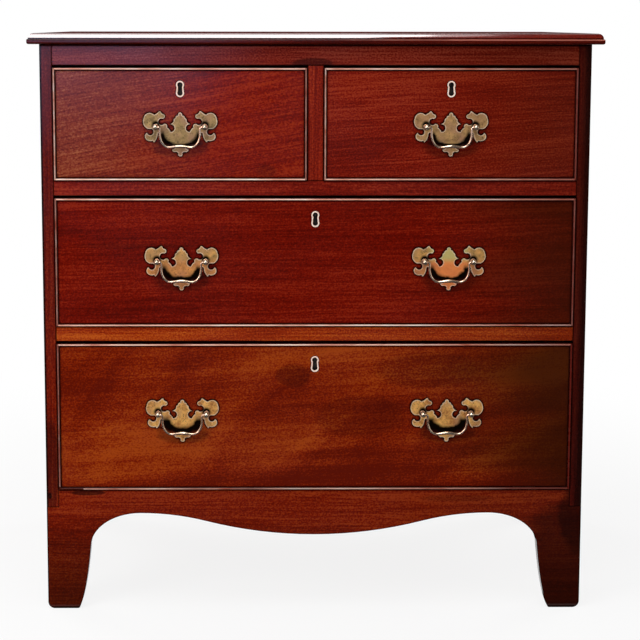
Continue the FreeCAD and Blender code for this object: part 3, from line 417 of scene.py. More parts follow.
def mahogany(name, axis, seed, tones, slant=0.0, flame=0.0, dusk=0.0, low=0.0, polish=0.36,
             handle_height=None, square=True):
    """Old French-polished mahogany with the grain along an axis. tones is its dark, middle and light
    colour, slant how far the grain climbs in degrees, flame the share of slanting figure, dusk how much
    the colour deepens towards the right-hand end, low how much it deepens towards the floor, both partly
    painted shade, and polish its shine. Under handles, at their height, shadows are painted on the wood.
    Its edges and a square board's corners get painted shade. The tables of second tones, shaded front
    edges, and marks and painted shade add what is on single boards."""
    graph = Graph(name)
    straight = graph.grain(axis, seed, slant)
    grain = graph.wander(straight, (1.6, 5, 5), 30 * MM)
    tone = graph.noise(grain, (2, 12, 12))
    bands = graph.noise(grain, (3, 60, 60), roughness=0.6)
    streaks = graph.noise(grain, (9, 430, 430), roughness=0.6)
    speckle = graph.noise(straight, (420, 520, 520), detail=1)
    streak_share = 0.14 if flame else 0.28
    figure = graph.weigh((0.5 - streak_share, tone), (0.2, bands), (streak_share, streaks), (0.3, speckle))
    if flame:
        lean = graph.grain(axis, seed, slant=38)
        licks = graph.noise(lean, (6, 17, 17), detail=3, distortion=0.6)
        figure = graph.waver(figure, graph.sum("SUBTRACT", licks, 0.5), flame)
    colour = graph.ramp(figure, FIGURE_STOPS, tones)
    parts = graph.parts()
    sideways, forward, upward = parts
    if name in SECOND_TONES:
        second_tones, fade_axis, start, end, share = SECOND_TONES[name]
        blurred = graph.waver(parts["XYZ".index(fade_axis)], tone, 120 * MM)
        second = graph.ramp(figure, FIGURE_STOPS, second_tones)
        colour = graph.mix(graph.span(blurred, start, end, share, 0.0), colour, second)
    # The deepening to the right and towards the floor is partly darker wood and partly painted shade.
    if dusk:
        blurred = graph.waver(sideways, tone, 300 * MM)
        colour = graph.mix(graph.span(blurred, *DUSK_START, 0.0, dusk), colour, DUSK)
    if low:
        blurred = graph.waver(upward, tone, 50 * MM)
        colour = graph.mix(graph.span(blurred, *LOW_END, low, 0.0), colour, DUSK)
    # Painted shade on the front edges of the sides.
    if name in SHADED_FRONT_EDGES:
        front = graph.span(forward, *(FRONT_Y + limit for limit in SHADE_DEPTH), 1.0, 0.0)
        outer = graph.span(sideways, *SHADED_FRONT_EDGES[name])
        colour = graph.mix(graph.sum("MULTIPLY", front, outer), colour, GRIME_AND_SHADE)
    uneven = graph.sum("SUBTRACT", bands, 0.5)
    # Painted shadows under each handle and inside its bail.
    if handle_height:
        outward = graph.sum("ABSOLUTE", sideways)
        for drop, half, share in HANDLE_SHADOWS:
            under = graph.spot(outward, upward, (HANDLE_X, handle_height - drop), half, uneven)
            colour = graph.mix(graph.sum("MULTIPLY", under, share), colour, GRIME_AND_SHADE)
    # Stains and knots, and painted shade at the feet.
    for *oval, share in MARKS_AND_SHADE.get(name, ()):
        x, z, half_x, half_z = (size * MM for size in oval)
        mark_and_shade = graph.spot(sideways, upward, (x, z), (half_x, half_z), uneven)
        colour = graph.mix(graph.sum("MULTIPLY", mark_and_shade, share), colour, GRIME_AND_SHADE)
    # Painted shade along the edges and on a square board's corners.
    edge_shade = graph.edges(2.4 * MM)
    if square:
        edge_shade = graph.sum("MAXIMUM", edge_shade, graph.corners())
    colour = graph.mix(graph.sum("MULTIPLY", edge_shade, 0.85), colour, GRIME_AND_SHADE)
    # Grime and painted shade in the corners and beside what stands proud.
    crevice_dirt_and_shade = graph.span(graph.crevices(4 * MM, samples=12), 0.8, 0.97, 0.97, 0.0)
    colour = graph.mix(crevice_dirt_and_shade, colour, GRIME_AND_SHADE)
    smears = graph.noise(straight, (7, 11, 11), detail=3)
    roughness = graph.span(smears, *NOISE_LIMITS, 0.15, 0.23)
    relief = graph.weigh((0.5, speckle), (0.5, streaks))
    shine = graph.span(graph.sum("MAXIMUM", edge_shade, crevice_dirt_and_shade), 0.0, 0.6, polish, 0.0)
    # The socket's own value is the polish where a link to it can't be read.
    graph.finish(Specular_IOR_Level=polish)
    return graph.finish(Base_Color=colour, Roughness=roughness, Normal=graph.bump(relief, 0.012 * MM),
                        Specular_IOR_Level=shine)


def polished_edge(name, axis, seed, tones):
    """The top's mahogany, whose ovolo is waxed to a high shine above its fillet, with painted shade on the
    fillet and its under side and a painted highlight along the fillet's arris.
    """
    material = mahogany(name, axis, seed, tones, square=False)
    graph = Graph(name)
    low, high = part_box(name)
    sideways, forward, upward = graph.parts()

    def over(limits, *shares):
        """A step between two heights over the top's under side."""
        return graph.span(upward, *(low.z + limit for limit in limits), *shares)

    from_side = graph.sum("SUBTRACT", graph.sum("ABSOLUTE", sideways), high.x - MOULDING_DEPTH)
    from_front = graph.sum("SUBTRACT", low.y + MOULDING_DEPTH, forward)
    rim = graph.span(graph.sum("MAXIMUM", from_side, from_front), 0.0, 1.5 * MM)
    wood = graph.shader.inputs["Base Color"].links[0].from_socket
    # Painted shade on the fillet and the under side.
    colour = graph.mix(over(FILLET_SHADE_END, 0.6, 0.0), wood, GRIME_AND_SHADE)
    # A painted highlight along the fillet's arris, towards the right.
    arris = graph.sum("MULTIPLY", over(ARRIS_START), over(ARRIS_END, 1.0, 0.0))
    blurred = graph.waver(sideways, graph.noise(graph.place(), (14, 14, 14)), 300 * MM)
    wear_and_highlight = graph.sum("MULTIPLY", arris, graph.span(blurred, *ARRIS_HIGHLIGHT_START, 0.0, 0.75))
    waxed = graph.sum("MULTIPLY", rim, over(OVOLO_START))
    graph.finish(Base_Color=graph.mix(wear_and_highlight, colour, ARRIS_HIGHLIGHT))
    graph.finish(Coat_Weight=waxed, Coat_Roughness=0.08, Coat_IOR=2.6)
    return material


def bead_wood(name, seed, crest, left, right, foot, scraped_to=None):
    """The beads' mahogany: dark, with a pale line along the crest, paler from rubbing and painted as a
    highlight. crest is its Y, in metres. left, right and foot are how much painted shade dulls the line on
    those sides, with some wear at the foot, and scraped_to the X, in metres, left of which the lower bead
    has lost its polish."""
    graph = Graph(name)
    where = graph.vector("ADD", graph.place(), (seed * 0.37, seed * 0.91, seed * 0.53))
    clouds = graph.noise(where, (16, 60, 60), detail=3, roughness=0.6)
    patches = graph.noise(where, (7, 7, 7))
    # The crest's pale line: paler rubbed wood with a painted highlight.
    colour = graph.ramp(clouds, CREST_STOPS, CREST_HIGHLIGHT_TONES)
    sideways, forward, upward = graph.parts()
    low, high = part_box(name)
    # Painted shade dulls the crest towards the right.
    blurred = graph.waver(sideways, clouds, 100 * MM)
    colour = graph.mix(graph.span(blurred, *CREST_SHADE_START, 0.0, 0.74), colour, CREST_SHADE)
    # Painted shade, with some wear at the foot, dulls the crest at the foot and at the sides.
    at_foot = graph.span(upward, *(low.z + limit for limit in BEAD_FOOT), 1.0, 0.0)
    foot_wear_and_shade = graph.sum("MULTIPLY", at_foot, graph.span(patches, 0.35, 0.6, 0.3 * foot, foot))
    colour = graph.mix(foot_wear_and_shade, colour, CREST_FOOT)
    for edge, inward, dull in ((low.x, 1, left), (high.x, -1, right)):
        inset = graph.sum("MULTIPLY", graph.sum("SUBTRACT", sideways, edge), inward)
        colour = graph.mix(graph.span(inset, *BEAD_WIDTH, dull, 0.0), colour, CREST_SIDE)
    if scraped_to:
        scraped = graph.span(sideways, scraped_to - 1 * MM, scraped_to + 1 * MM, 1.0, 0.0)
        colour = graph.mix(graph.sum("MULTIPLY", scraped, at_foot), colour, CREST_SCRAPED)
    wear_and_highlight = graph.span(forward, *(crest + limit for limit in CREST_FADE), 1.0, 0.0)
    colour = graph.mix(wear_and_highlight, BEAD_FLANK, colour)
    # Grime and painted shade in the corners beside the bead.
    crevice_dirt_and_shade = graph.span(graph.crevices(2.5 * MM), 0.35, 0.8, 0.95, 0.0)
    colour = graph.mix(crevice_dirt_and_shade, colour, GRIME_AND_SHADE)
    gloss = graph.span(clouds, *NOISE_LIMITS, 0.34, 0.22)
    return graph.finish(Base_Color=colour, Roughness=gloss, Specular_IOR_Level=0.12,
                        Normal=graph.bump(clouds, 0.05 * MM))


def plain_wood(name, axis, seed, tones, knots=0.0, flecks=0.0):
    """Unpolished inside timber: knots for pine, flecks across the grain for oak."""
    graph = Graph(name)
    straight = graph.grain(axis, seed)
    grain = graph.wander(straight, (2.2, 6, 6), 50 * MM)
    rings = graph.noise(grain, (0.9, 48, 48), detail=3, roughness=0.6)
    fibres = graph.noise(grain, (12, 600, 600), detail=3, roughness=0.7)
    tone = graph.noise(straight, (3, 8, 8), detail=3)
    colour = graph.ramp(graph.weigh((0.5, rings), (0.25, fibres), (0.25, tone)), TIMBER_STOPS, tones)
    if knots:
        cells = graph.add("TexVoronoi", Vector=graph.vector("MULTIPLY", straight, (3.1, 7, 7)), Scale=1.0)
        colour = graph.mix(graph.span(cells.outputs["Distance"], 0.05, 0.22, knots, 0.0), colour, KNOT)
    if flecks:
        rays = graph.noise(straight, (24, 260, 260), detail=1)
        colour = graph.mix(graph.span(rays, 0.6, 0.7, 0.0, flecks), colour, tones[-1])
    # Dust and painted shade in the corners.
    crevice_dirt_and_shade = graph.span(graph.crevices(9 * MM), 0.2, 0.9, 0.6, 0.0)
    colour = graph.mix(crevice_dirt_and_shade, colour, DUST)
    roughness = graph.span(tone, *NOISE_LIMITS, 0.62, 0.82)
    relief = graph.weigh((0.5, fibres), (0.5, rings))
    return graph.finish(Base_Color=colour, Roughness=roughness, Normal=graph.bump(relief, 0.15 * MM),
                        Specular_IOR_Level=0.25)


def brass(name, seed, tones, roughness, metal=0.85, tarnish=0.9, plate=None):
    """Old brass, brown in the corners and bright along its edges from rubbing and a painted highlight.
    tones is its dull and its fresh colour. plate is what a back plate has besides: the height of its posts,
    where its soiling and painted shadow start and the X of a handle with a painted orange and green glint
    over lacquering that has turned, or None."""
    graph = Graph(name)
    where = graph.vector("ADD", graph.place(), (seed * 0.71, seed * 1.13, seed * 0.47))
    clouds = graph.noise(where, (110, 110, 110), detail=4, roughness=0.6)
    scratches = graph.noise(where, (2400, 700, 700))
    colour = graph.ramp(clouds, BRASS_STOPS, tones)
    if plate:
        colour, clear_of_dirt_and_shadow = plate_finish(graph, colour, where, clouds, *plate)
        graph.finish(Specular_IOR_Level=graph.sum("MULTIPLY", clear_of_dirt_and_shadow, 0.5))
        metal = graph.sum("MULTIPLY", clear_of_dirt_and_shadow, metal)
    else:
        # Wear and a painted highlight along the edges.
        colour = graph.mix(graph.edges(1.8 * MM), colour, BRASS_RIM_WEAR_AND_HIGHLIGHT)
    corners = graph.span(graph.crevices(3 * MM), 0.3, 0.9, tarnish, 0.0)
    colour = graph.mix(corners, colour, TARNISH)
    gloss = graph.span(clouds, *NOISE_LIMITS, roughness + 0.1, roughness - 0.06)
    relief = graph.weigh((0.7, clouds), (0.3, scratches))
    return graph.finish(Base_Color=colour, Metallic=metal, Roughness=gloss,
                        Normal=graph.bump(relief, 0.1 * MM))


def plate_finish(graph, colour, where, clouds, height, dirt_and_shadow_start, glint_x):
    """A back plate's colour, with its pits, stains, turned lacquering under a painted glint, a rim bright
    from rubbing and a painted highlight, soiling with painted shadow and painted shade on its flanks; and
    how clear it is of that soiling and shadow.
    """
    holes = graph.span(graph.noise(where, (420, 420, 420)), 0.58, 0.68, 0.0, 0.6)
    colour = graph.mix(holes, colour, PLATE_PIT)
    stains = graph.noise(where, (55, 55, 55))
    colour = graph.mix(graph.span(stains, 0.45, 0.7, 0.0, 0.6), colour, PLATE_STAIN)
    # A painted orange and green glint over lacquer that has turned.
    if glint_x:
        sideways, _, upward = graph.parts()
        aside = graph.sum("ABSOLUTE", graph.sum("SUBTRACT", sideways, glint_x))
        upper = graph.span(upward, *(height + limit for limit in GLINT_TURN))
        lacquer_and_glint = graph.mix(upper, ORANGE_LACQUER_AND_GLINT, GREEN_LACQUER_AND_GLINT)
        colour = graph.mix(graph.span(aside, *GLINT_FADE, 0.75, 0.15), colour, lacquer_and_glint)
    # Wear and a painted highlight along the plate's rim.
    rim = graph.edges(2.2 * MM, flat=0.9995, sharp=0.97)
    wear_and_highlight = graph.sum("MULTIPLY", rim, graph.span(clouds, 0.35, 0.6, 0.6, 1.0))
    colour = graph.mix(wear_and_highlight, colour, PLATE_RIM_WEAR_AND_HIGHLIGHT)
    # Dirt and painted shadow inside the bail and over the posts.
    dirt_and_shadow = handle_dirt_and_shadow(graph, height, clouds, dirt_and_shadow_start)
    colour = graph.mix(dirt_and_shadow, colour, PLATE_DIRT_AND_SHADOW)
    # Painted shade on the plate's flanks, where it meets the wood.
    forward = graph.add("SeparateXYZ", Vector=graph.facing()).outputs[1]
    colour = graph.mix(graph.span(forward, -0.9, -0.7, 0.0, 0.95), colour, PLATE_FLANK_SHADE)
    return colour, graph.sum("SUBTRACT", 1.0, dirt_and_shadow)


def handle_dirt_and_shadow(graph, height, clouds, start):
    """How dark a back plate is, soiled and in painted shadow: along the inside of the hanging bail, from a
    start on, and over the posts."""
    sideways, _, upward = graph.parts()
    across = graph.sum("ABSOLUTE", graph.sum("SUBTRACT", graph.sum("ABSOLUTE", sideways), HANDLE_X))
    down = graph.sum("SUBTRACT", height, upward)
    span_share = graph.sum("DIVIDE", across, BAIL_SPAN)
    drop_share = graph.sum("DIVIDE", graph.sum("MAXIMUM", down, 0.0), BAIL_DROP)
    round_bail = graph.sum("ADD", graph.sum("POWER", span_share, BAIL_SQUARENESS),
                           graph.sum("POWER", drop_share, BAIL_SQUARENESS))
    inside = graph.span(graph.waver(round_bail, clouds, 0.5), start, start + 0.28)
    behind = graph.sum("MULTIPLY", inside, graph.span(round_bail, *BEHIND_END, 1.0, 0.0))
    behind = graph.sum("MULTIPLY", behind, graph.span(down, *BEHIND_START))
    aside = graph.sum("SUBTRACT", across, POST_SPAN)
    above = graph.sum("ADD", down, POST_SPOT_RISE)
    reach = graph.sum("SQRT", graph.squares(aside, above))
    posts = graph.span(reach, *POST_SPOT_FADE, 1.0, 0.0)
    return graph.sum("MAXIMUM", behind, posts)


def iron(name):
    """Dark iron with a little rust."""
    graph = Graph(name)
    rust = graph.noise(graph.place(), (140, 140, 140), detail=5, roughness=0.65)
    colour = graph.ramp(rust, IRON_STOPS, IRON_TONES)
    # Grime and painted shade in the corners.
    crevice_dirt_and_shade = graph.span(graph.crevices(4 * MM), 0.3, 0.9, 0.7, 0.0)
    colour = graph.mix(crevice_dirt_and_shade, colour, IRON_GRIME)
    gloss = graph.span(rust, 0.35, 0.7, 0.42, 0.75)
    return graph.finish(Base_Color=colour, Metallic=0.8, Roughness=gloss,
                        Normal=graph.bump(rust, 0.1 * MM))


def dress(node, material):
    for slot in nodes[node].material_slots:
        slot.material = material


def soften(node, width, segments=2, angle=40):
    """Rounds a node's edges that are sharper than an angle in degrees, over a width in metres."""
    piece = nodes[node]
    weld = piece.modifiers.new("weld", "WELD")
    weld.merge_threshold = 0.002 * MM
    flat = piece.modifiers.new("flat", "DECIMATE")
    flat.decimate_type = "DISSOLVE"
    flat.angle_limit = math.radians(0.5)
    bevel = piece.modifiers.new("bevel", "BEVEL")
    bevel.width = width
    bevel.segments = segments
    bevel.limit_method = "ANGLE"
    bevel.angle_limit = math.radians(angle)
    bevel.face_strength_mode = "FSTR_ALL"
    even = piece.modifiers.new("even", "WEIGHTED_NORMAL")
    even.weight = 100
    even.use_face_influence = True


def dress_case():
    """The mahogany and pine of the case: each board with its own grain and stretch of figure."""
    # Each board's grain, tones, dusk, deepening towards the floor, and polish.
    boards = {
        "top_rail_front": ("X", WINE, 0.3, 0, 0.32),
        "side_left": ("Z", DEEP, 0, 0, 0.32),
        "side_right": ("Z", DEEP, 0, 0, 0.32),
        "centre_divider": ("Z", FOXY, 0, 0, 0.32),
        "upper_blade": ("X", ROSE, 0.2, 0, 0.32),
        "lower_blade": ("X", AMBER, 0.3, 0, 0.32),
        "base_front": ("X", BROWN, 0.3, 0.6, 0.2),
        "base_side_left": ("Y", BROWN, 0, 0.6, 0.32),
        "base_side_right": ("Y", BROWN, 0, 0.6, 0.32),
    }
    for seed, (node, (axis, tones, dusk, low, polish)) in enumerate(boards.items(), BOARD_SEED):
        dress(node, mahogany(node, axis, seed, tones, dusk=dusk, low=low, polish=polish))
    dress("top_board", polished_edge("top_board", "X", TOP_SEED, RED))
    for node in [*boards, "top_board"]:
        soften(node, BOARD_ROUNDING)
    pine_grain = {
        "bottom_board": "X", "top_rail_rear": "X", "drawer_runners": "Y", "drawer_stops": "X",
        "back_boards": "Z", "rear_brackets": "X", "glue_blocks": "Z",
    }
    for seed, (node, axis) in enumerate(pine_grain.items(), PINE_SEED):
        dress(node, plain_wood(node, axis, seed, PINE, knots=0.7))
        soften(node, PINE_ROUNDING)


def add_piece(name, points, faces, material, body):
    """A new mesh that rides on a body."""
    mesh = bpy.data.meshes.new(name)
    mesh.from_pydata(points, [], faces)
    mesh.materials.append(material)
    piece = bpy.data.objects.new(name, mesh)
    bpy.context.scene.collection.objects.link(piece)
    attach(piece, body)
    return piece


def add_tongues():
    """Loose tongues that close the joints between the back boards."""
    low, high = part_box("back_boards")
    pitch = (high.x - low.x + BACK_GAP) / BACK_BOARDS
    middle = (low.y + high.y) / 2
    faces = [(0, 2, 3, 1), (4, 5, 7, 6), (0, 1, 5, 4), (2, 6, 7, 3), (0, 4, 6, 2), (1, 3, 7, 5)]
    pine = bpy.data.materials["back_boards"]
    for index in range(1, BACK_BOARDS):
        left = low.x + index * pitch - BACK_GAP
        points = [(x, y, z) for z in (low.z, high.z) for y in (middle - TONGUE_HALF, middle + TONGUE_HALF)
                  for x in (left, left + BACK_GAP)]
        add_piece(f"back_tongue_{index}", points, faces, pine, "carcase")


def post_height(drawer):
    """The height of a drawer's handle posts."""
    low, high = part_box(drawer + "_posts")
    return (low.z + high.z) / 2


def dress_drawers():
    """The drawers' fronts, beads, linings, escutcheons and locks."""
    pale = brass("escutcheon_brass", ESCUTCHEON_SEED, ESCUTCHEON_TONES, roughness=0.4, metal=0.0,
                 tarnish=0.35)
    dark_iron = iron("iron")
    dress("top_screws", dark_iron)
    # Each front's tones, slant, flame, dusk and polish.
    fronts = {
        "left_drawer": (RUDDY, 9, 0, 0, 0.34),
        "right_drawer": (ROSE, 4, 0, 0.42, 0.36),
        "middle_drawer": (RED, 1, 0, 0.75, 0.18),
        "lower_drawer": (WARM, 3, 0.26, 0.85, 0.18),
    }
    # How much painted shade dulls the beads' crests at the left, at the right and at the foot, and where
    # the foot is scraped to.
    dull_beads = {
        "left_drawer": (0.5, 0.78, 0, None),
        "right_drawer": (0.5, 0.76, 0.1, None),
        "middle_drawer": (0.77, 0.68, 0, None),
        "lower_drawer": (0.84, 0.98, 0.85, -306 * MM),
    }
    for index, drawer in enumerate(DRAWERS):
        seed = FRONT_SEED + index
        tones, slant, flame, dusk, polish = fronts[drawer]
        front = drawer + "_front"
        dress(front, mahogany(front, "X", seed, tones, slant, flame, dusk, polish=polish,
                              handle_height=post_height(drawer)))
        beads = drawer + "_cockbeads"
        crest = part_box(beads)[0].y
        dress(beads, bead_wood(beads, seed, crest, *dull_beads[drawer]))
        for part, axis in (("_linings", "Y"), ("_bottom", "X")):
            dress(drawer + part, plain_wood(drawer + part, axis, OAK_SEED + index, OAK, flecks=0.5))
            soften(drawer + part, OAK_ROUNDING)
        dress(drawer + "_escutcheon", pale)
        dress(drawer + "_lock", dark_iron)
        dress(drawer + "_lock_bolt", dark_iron)


def bail_path(wire_end):
    """Points of a bail from its left end to its right, as (sideways, upward, radius) from the middle of
    its pivots, in metres."""
    half = [(wire_end, 0, ARM_RADIUS), (BAIL_SPAN + BEND_RADIUS, 0, ARM_RADIUS)]
    for step in range(1, BEND_STEPS + 1):
        turn = math.pi / 2 * step / BEND_STEPS
        half.append((BAIL_SPAN + BEND_RADIUS * (1 - math.sin(turn)), -BEND_RADIUS * (1 - math.cos(turn)),
                     ARM_RADIUS))
    for step in range(CURVE_STEPS + 1):
        share = step / CURVE_STEPS
        turn = math.pi / 2 * share
        half.append((GRIP_HALF + (BAIL_SPAN - GRIP_HALF) * math.cos(turn),
                     -ARM_DROP - (BAIL_DROP - ARM_DROP) * math.sin(turn),
                     ARM_RADIUS + (GRIP_RADIUS - ARM_RADIUS) * share))
    for step in range(1, GRIP_STEPS + 1):
        share = step / GRIP_STEPS
        swell = 0.5 - 0.5 * math.cos(math.pi * share)
        half.append((GRIP_HALF * (1 - share), -BAIL_DROP + GRIP_RISE * swell,
                     GRIP_RADIUS + (BAIL_MIDDLE_RADIUS - GRIP_RADIUS) * swell))
    return [(-x, z, r) for x, z, r in half] + [(x, z, r) for x, z, r in half[-2::-1]]


def add_bail(node, body, material):
    """A cast bail, slender in its arms and swelling towards the middle of its grip."""
    low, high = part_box(node)
    pivot = Vector(((low.x + high.x) / 2, (low.y + high.y) / 2, high.z - WIRE_RADIUS))
    path = bail_path((high.x - low.x) / 2)
    backward = Vector((0, 1, 0))
    points = []
    for index, (x, z, radius) in enumerate(path):
        before, after = path[max(index - 1, 0)], path[min(index + 1, len(path) - 1)]
        along = Vector((after[0] - before[0], 0, after[1] - before[1])).normalized()
        across = Vector((-along.z, 0, along.x))
        middle = pivot + Vector((x, 0, z))
        for side in range(BAIL_SIDES):
            turn = 2 * math.pi * side / BAIL_SIDES
            points.append(middle + radius * (math.cos(turn) * across + math.sin(turn) * backward))
    faces = []
    for ring in range(len(path) - 1):
        for side in range(BAIL_SIDES):
            a, b = ring * BAIL_SIDES + side, ring * BAIL_SIDES + (side + 1) % BAIL_SIDES
            faces.append((a, b, b + BAIL_SIDES, a + BAIL_SIDES))
    last = (len(path) - 1) * BAIL_SIDES
    faces += [tuple(range(BAIL_SIDES))[::-1], tuple(range(last, last + BAIL_SIDES))]
    piece = add_piece(node + "_cast", points, faces, material, body)
    piece.data.shade_smooth()
    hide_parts(node)


def dress_brasses():
    """The handles: posts, back plates and cast bails."""
    # Each drawer's plates: their dull and fresh colour, where their dirt and painted shadow start, and the
    # X of one with a painted orange and green glint over lacquer that has turned.
    plates = {
        "left_drawer": (shown(126, 100, 58), shown(196, 160, 100), 0.72, None),
        "right_drawer": (shown(140, 104, 60), shown(210, 164, 100), 0.72, None),
        "middle_drawer": (shown(150, 98, 46), shown(232, 162, 84), 0.62, HANDLE_X),
        "lower_drawer": (shown(172, 106, 44), shown(255, 196, 104), 0.5, None),
    }
    post = brass("post_brass", POST_SEED, POST_TONES, roughness=0.2)
    for seed, drawer in enumerate(DRAWERS, PLATE_SEED):
        dress(drawer + "_posts", post)
        for node in nodes:
            if node.startswith(drawer + "_backplate"):
                *tones, dirt_and_shadow_start, glint_x = plates[drawer]
                dress(node, brass(node, seed, tones, roughness=0.4, metal=0.25,
                                  plate=(post_height(drawer), dirt_and_shadow_start, glint_x)))
                soften(node, PLATE_ROUNDING, segments=1, angle=60)
            elif node.startswith(drawer + "_bail"):
                add_bail(node, BAIL_BODIES[node], post)


def add_camera():
    """The photograph's camera."""
    data = bpy.data.cameras.new("camera")
    data.sensor_width = SENSOR_MM
    data.lens = SENSOR_MM * FOCAL_PIXELS / FRAME_PIXELS
    data.shift_x = SHIFT_PIXELS / FRAME_PIXELS
    camera = bpy.data.objects.new("camera", data)
    level = math.cos(CAMERA_PITCH)
    forward = Vector((-math.sin(CAMERA_YAW) * level, math.cos(CAMERA_YAW) * level, -math.sin(CAMERA_PITCH)))
    right = Vector((math.cos(CAMERA_YAW), math.sin(CAMERA_YAW), 0))
    up = right.cross(forward)
    rolled = math.cos(CAMERA_ROLL) * right + math.sin(CAMERA_ROLL) * up
    upright = rolled.cross(forward)
    turn = Matrix((rolled, upright, -forward)).transposed()
    camera.matrix_world = Matrix.Translation(CAMERA_PLACE) @ turn.to_4x4()
    bpy.context.scene.collection.objects.link(camera)
    bpy.context.scene.camera = camera


def add_lamp(name, place, target, size, watts, colour=(1, 1, 1), mirrored=True, spread=True):
    """A soft lamp. mirrored is whether polish shows it, and spread whether it lights matt surfaces."""
    data = bpy.data.lights.new(name, "AREA")
    data.shape = "RECTANGLE"
    data.size, data.size_y = size
    data.energy = watts
    data.color = colour
    lamp = bpy.data.objects.new(name, data)
    aim = Vector(target) - Vector(place)
    lamp.location = place
    lamp.rotation_euler = aim.to_track_quat("-Z", "Y").to_euler()
    lamp.visible_camera = False
    lamp.visible_glossy = mirrored
    lamp.visible_diffuse = spread
    bpy.context.scene.collection.objects.link(lamp)


def seen(tree):
    """1 for rays that look at a surface straight, in a reflection or through glass."""
    path = tree.nodes.new("ShaderNodeLightPath")
    total = path.outputs["Is Camera Ray"]
    for name in ("Is Glossy Ray", "Is Transmission Ray"):
        node = tree.nodes.new("ShaderNodeMath")
        node.operation = "MAXIMUM"
        tree.links.new(total, node.inputs[0])
        tree.links.new(path.outputs[name], node.inputs[1])
        total = node.outputs[0]
    return total


def add_sheet(name, corners):
    """A flat sheet of the stage."""
    mesh = bpy.data.meshes.new(name)
    mesh.from_pydata(corners, [], [range(len(corners))])
    sheet = bpy.data.objects.new(name, mesh)
    bpy.context.scene.collection.objects.link(sheet)
    return sheet


def add_floor():
    """A white floor that keeps a soft shadow: matt near the chest, and plain white further off."""
    half = 30
    matt_white = (0.82, 0.82, 0.82, 1)
    glow_near, glow_far = 0.86, 1
    near, far = 0.6, 1.6
    floor = add_sheet("floor", [(-half, -half, 0), (half, -half, 0), (half, half, 0), (-half, half, 0)])
    material = bpy.data.materials.new("floor_white")
    material.use_nodes = True
    tree = material.node_tree
    tree.nodes.remove(tree.nodes["Principled BSDF"])
    matt = tree.nodes.new("ShaderNodeBsdfDiffuse")
    matt.inputs["Color"].default_value = matt_white
    glow = tree.nodes.new("ShaderNodeEmission")
    glow.inputs["Strength"].default_value = 1
    place = tree.nodes.new("ShaderNodeTexCoord")
    distance = tree.nodes.new("ShaderNodeVectorMath")
    distance.operation = "LENGTH"
    tree.links.new(place.outputs["Object"], distance.inputs[0])
    fade = tree.nodes.new("ShaderNodeMapRange")
    fade.interpolation_type = "SMOOTHSTEP"
    limits = {"From Min": near, "From Max": far, "To Min": glow_near, "To Max": glow_far}
    for name, limit in limits.items():
        fade.inputs[name].default_value = limit
    tree.links.new(distance.outputs["Value"], fade.inputs["Value"])
    share = tree.nodes.new("ShaderNodeMath")
    share.operation = "MULTIPLY"
    tree.links.new(seen(tree), share.inputs[0])
    tree.links.new(fade.outputs["Result"], share.inputs[1])
    blend = tree.nodes.new("ShaderNodeMixShader")
    tree.links.new(share.outputs[0], blend.inputs[0])
    tree.links.new(matt.outputs[0], blend.inputs[1])
    tree.links.new(glow.outputs[0], blend.inputs[2])
    tree.links.new(blend.outputs[0], tree.nodes["Material Output"].inputs["Surface"])
    floor.data.materials.append(material)


def add_surround():
    """A world that looks white and lights the chest a little."""
    light, white = 0.2, 1
    world = bpy.data.worlds.new("surround")
    bpy.context.scene.world = world
    world.use_nodes = True
    tree = world.node_tree
    strength = tree.nodes.new("ShaderNodeMapRange")
    tree.links.new(seen(tree), strength.inputs["Value"])
    strength.inputs["To Min"].default_value = light
    strength.inputs["To Max"].default_value = white
    background = tree.nodes["Background"]
    background.inputs["Color"].default_value = (1, 1, 1, 1)
    tree.links.new(strength.outputs["Result"], background.inputs["Strength"])


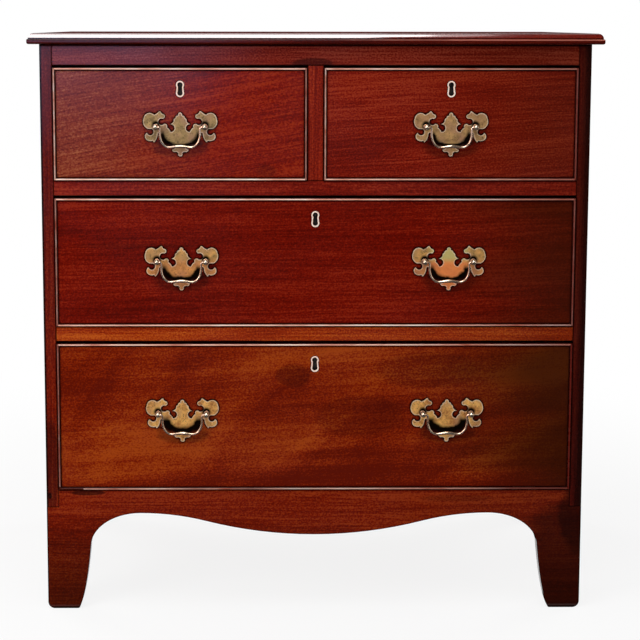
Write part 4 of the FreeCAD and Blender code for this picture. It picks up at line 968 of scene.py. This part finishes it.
def add_flags():
    """Dark cards that only reflections see, as a studio hangs them to keep polish from going grey: on the
    floor in front of the chest, upright before and behind it, and over its right-hand end."""
    front, near, far = FRONT_Y - 0.002, FRONT_Y - 4, 4
    wide, right = 4, 0.5
    lift, low, over, high = 0.004, 2.2, 3, 5
    card = bpy.data.materials.new("flag_black")
    card.use_nodes = True
    shader = card.node_tree.nodes["Principled BSDF"]
    shader.inputs["Base Color"].default_value = (0.012, 0.009, 0.008, 1)
    shader.inputs["Roughness"].default_value = 1
    shader.inputs["Specular IOR Level"].default_value = 0
    cards = {
        "flag_floor": [(-wide, front, lift), (-wide, near, lift), (wide, near, lift), (wide, front, lift)],
        "flag_front": [(-wide, near, 0), (-wide, near, high), (wide, near, high), (wide, near, 0)],
        "flag_rear": [(-wide, far, 0), (-wide, far, low), (wide, far, low), (wide, far, 0)],
        "flag_over": [(right, near, over), (right, far, over), (wide, far, over), (wide, near, over)],
    }
    for name, corners in cards.items():
        sheet = add_sheet(name, corners)
        sheet.data.materials.append(card)
        sheet.visible_camera = False
        sheet.visible_diffuse = False
        sheet.visible_shadow = False
        sheet.visible_transmission = False


def add_light():
    """A key, a fill and an overhead lamp, a cool window that the polish shows, a strip that only polish
    shows, and two lamps behind that it doesn't."""
    middle = (0, 0, 0.42)
    add_lamp("key", (-1.6, -1.8, 1.3), middle, (0.9, 0.9), 22, (1, 0.97, 0.94))
    add_lamp("fill", (2.4, -2.2, 1.6), middle, (1.6, 1.6), 6, (1, 0.96, 0.92))
    add_lamp("overhead", (-0.3, -1.1, 2.9), (-0.3, -0.5, 0.76), (1.3, 2.2), 42)
    add_lamp("window", (-0.62, -2.9, 0.78), (-0.3, FRONT_Y, 0.74), (0.8, 0.36), 2.8, (0.45, 0.58, 1.05))
    add_lamp("strip", (-0.24, -2.2, 2.2), (-0.24, FRONT_Y, 0.76), (0.92, 1.8), 24, spread=False)
    add_lamp("rear_left", (-2.2, 2.4, 1.9), middle, (1.6, 1.6), 44, mirrored=False)
    add_lamp("rear_right", (2.4, 2.2, 1.7), middle, (1.6, 1.6), 38, mirrored=False)


dress_case()
add_tongues()
dress_drawers()
dress_brasses()
add_camera()
add_floor()
add_surround()
add_flags()
add_light()
bpy.context.scene.view_settings.view_transform = "Standard"
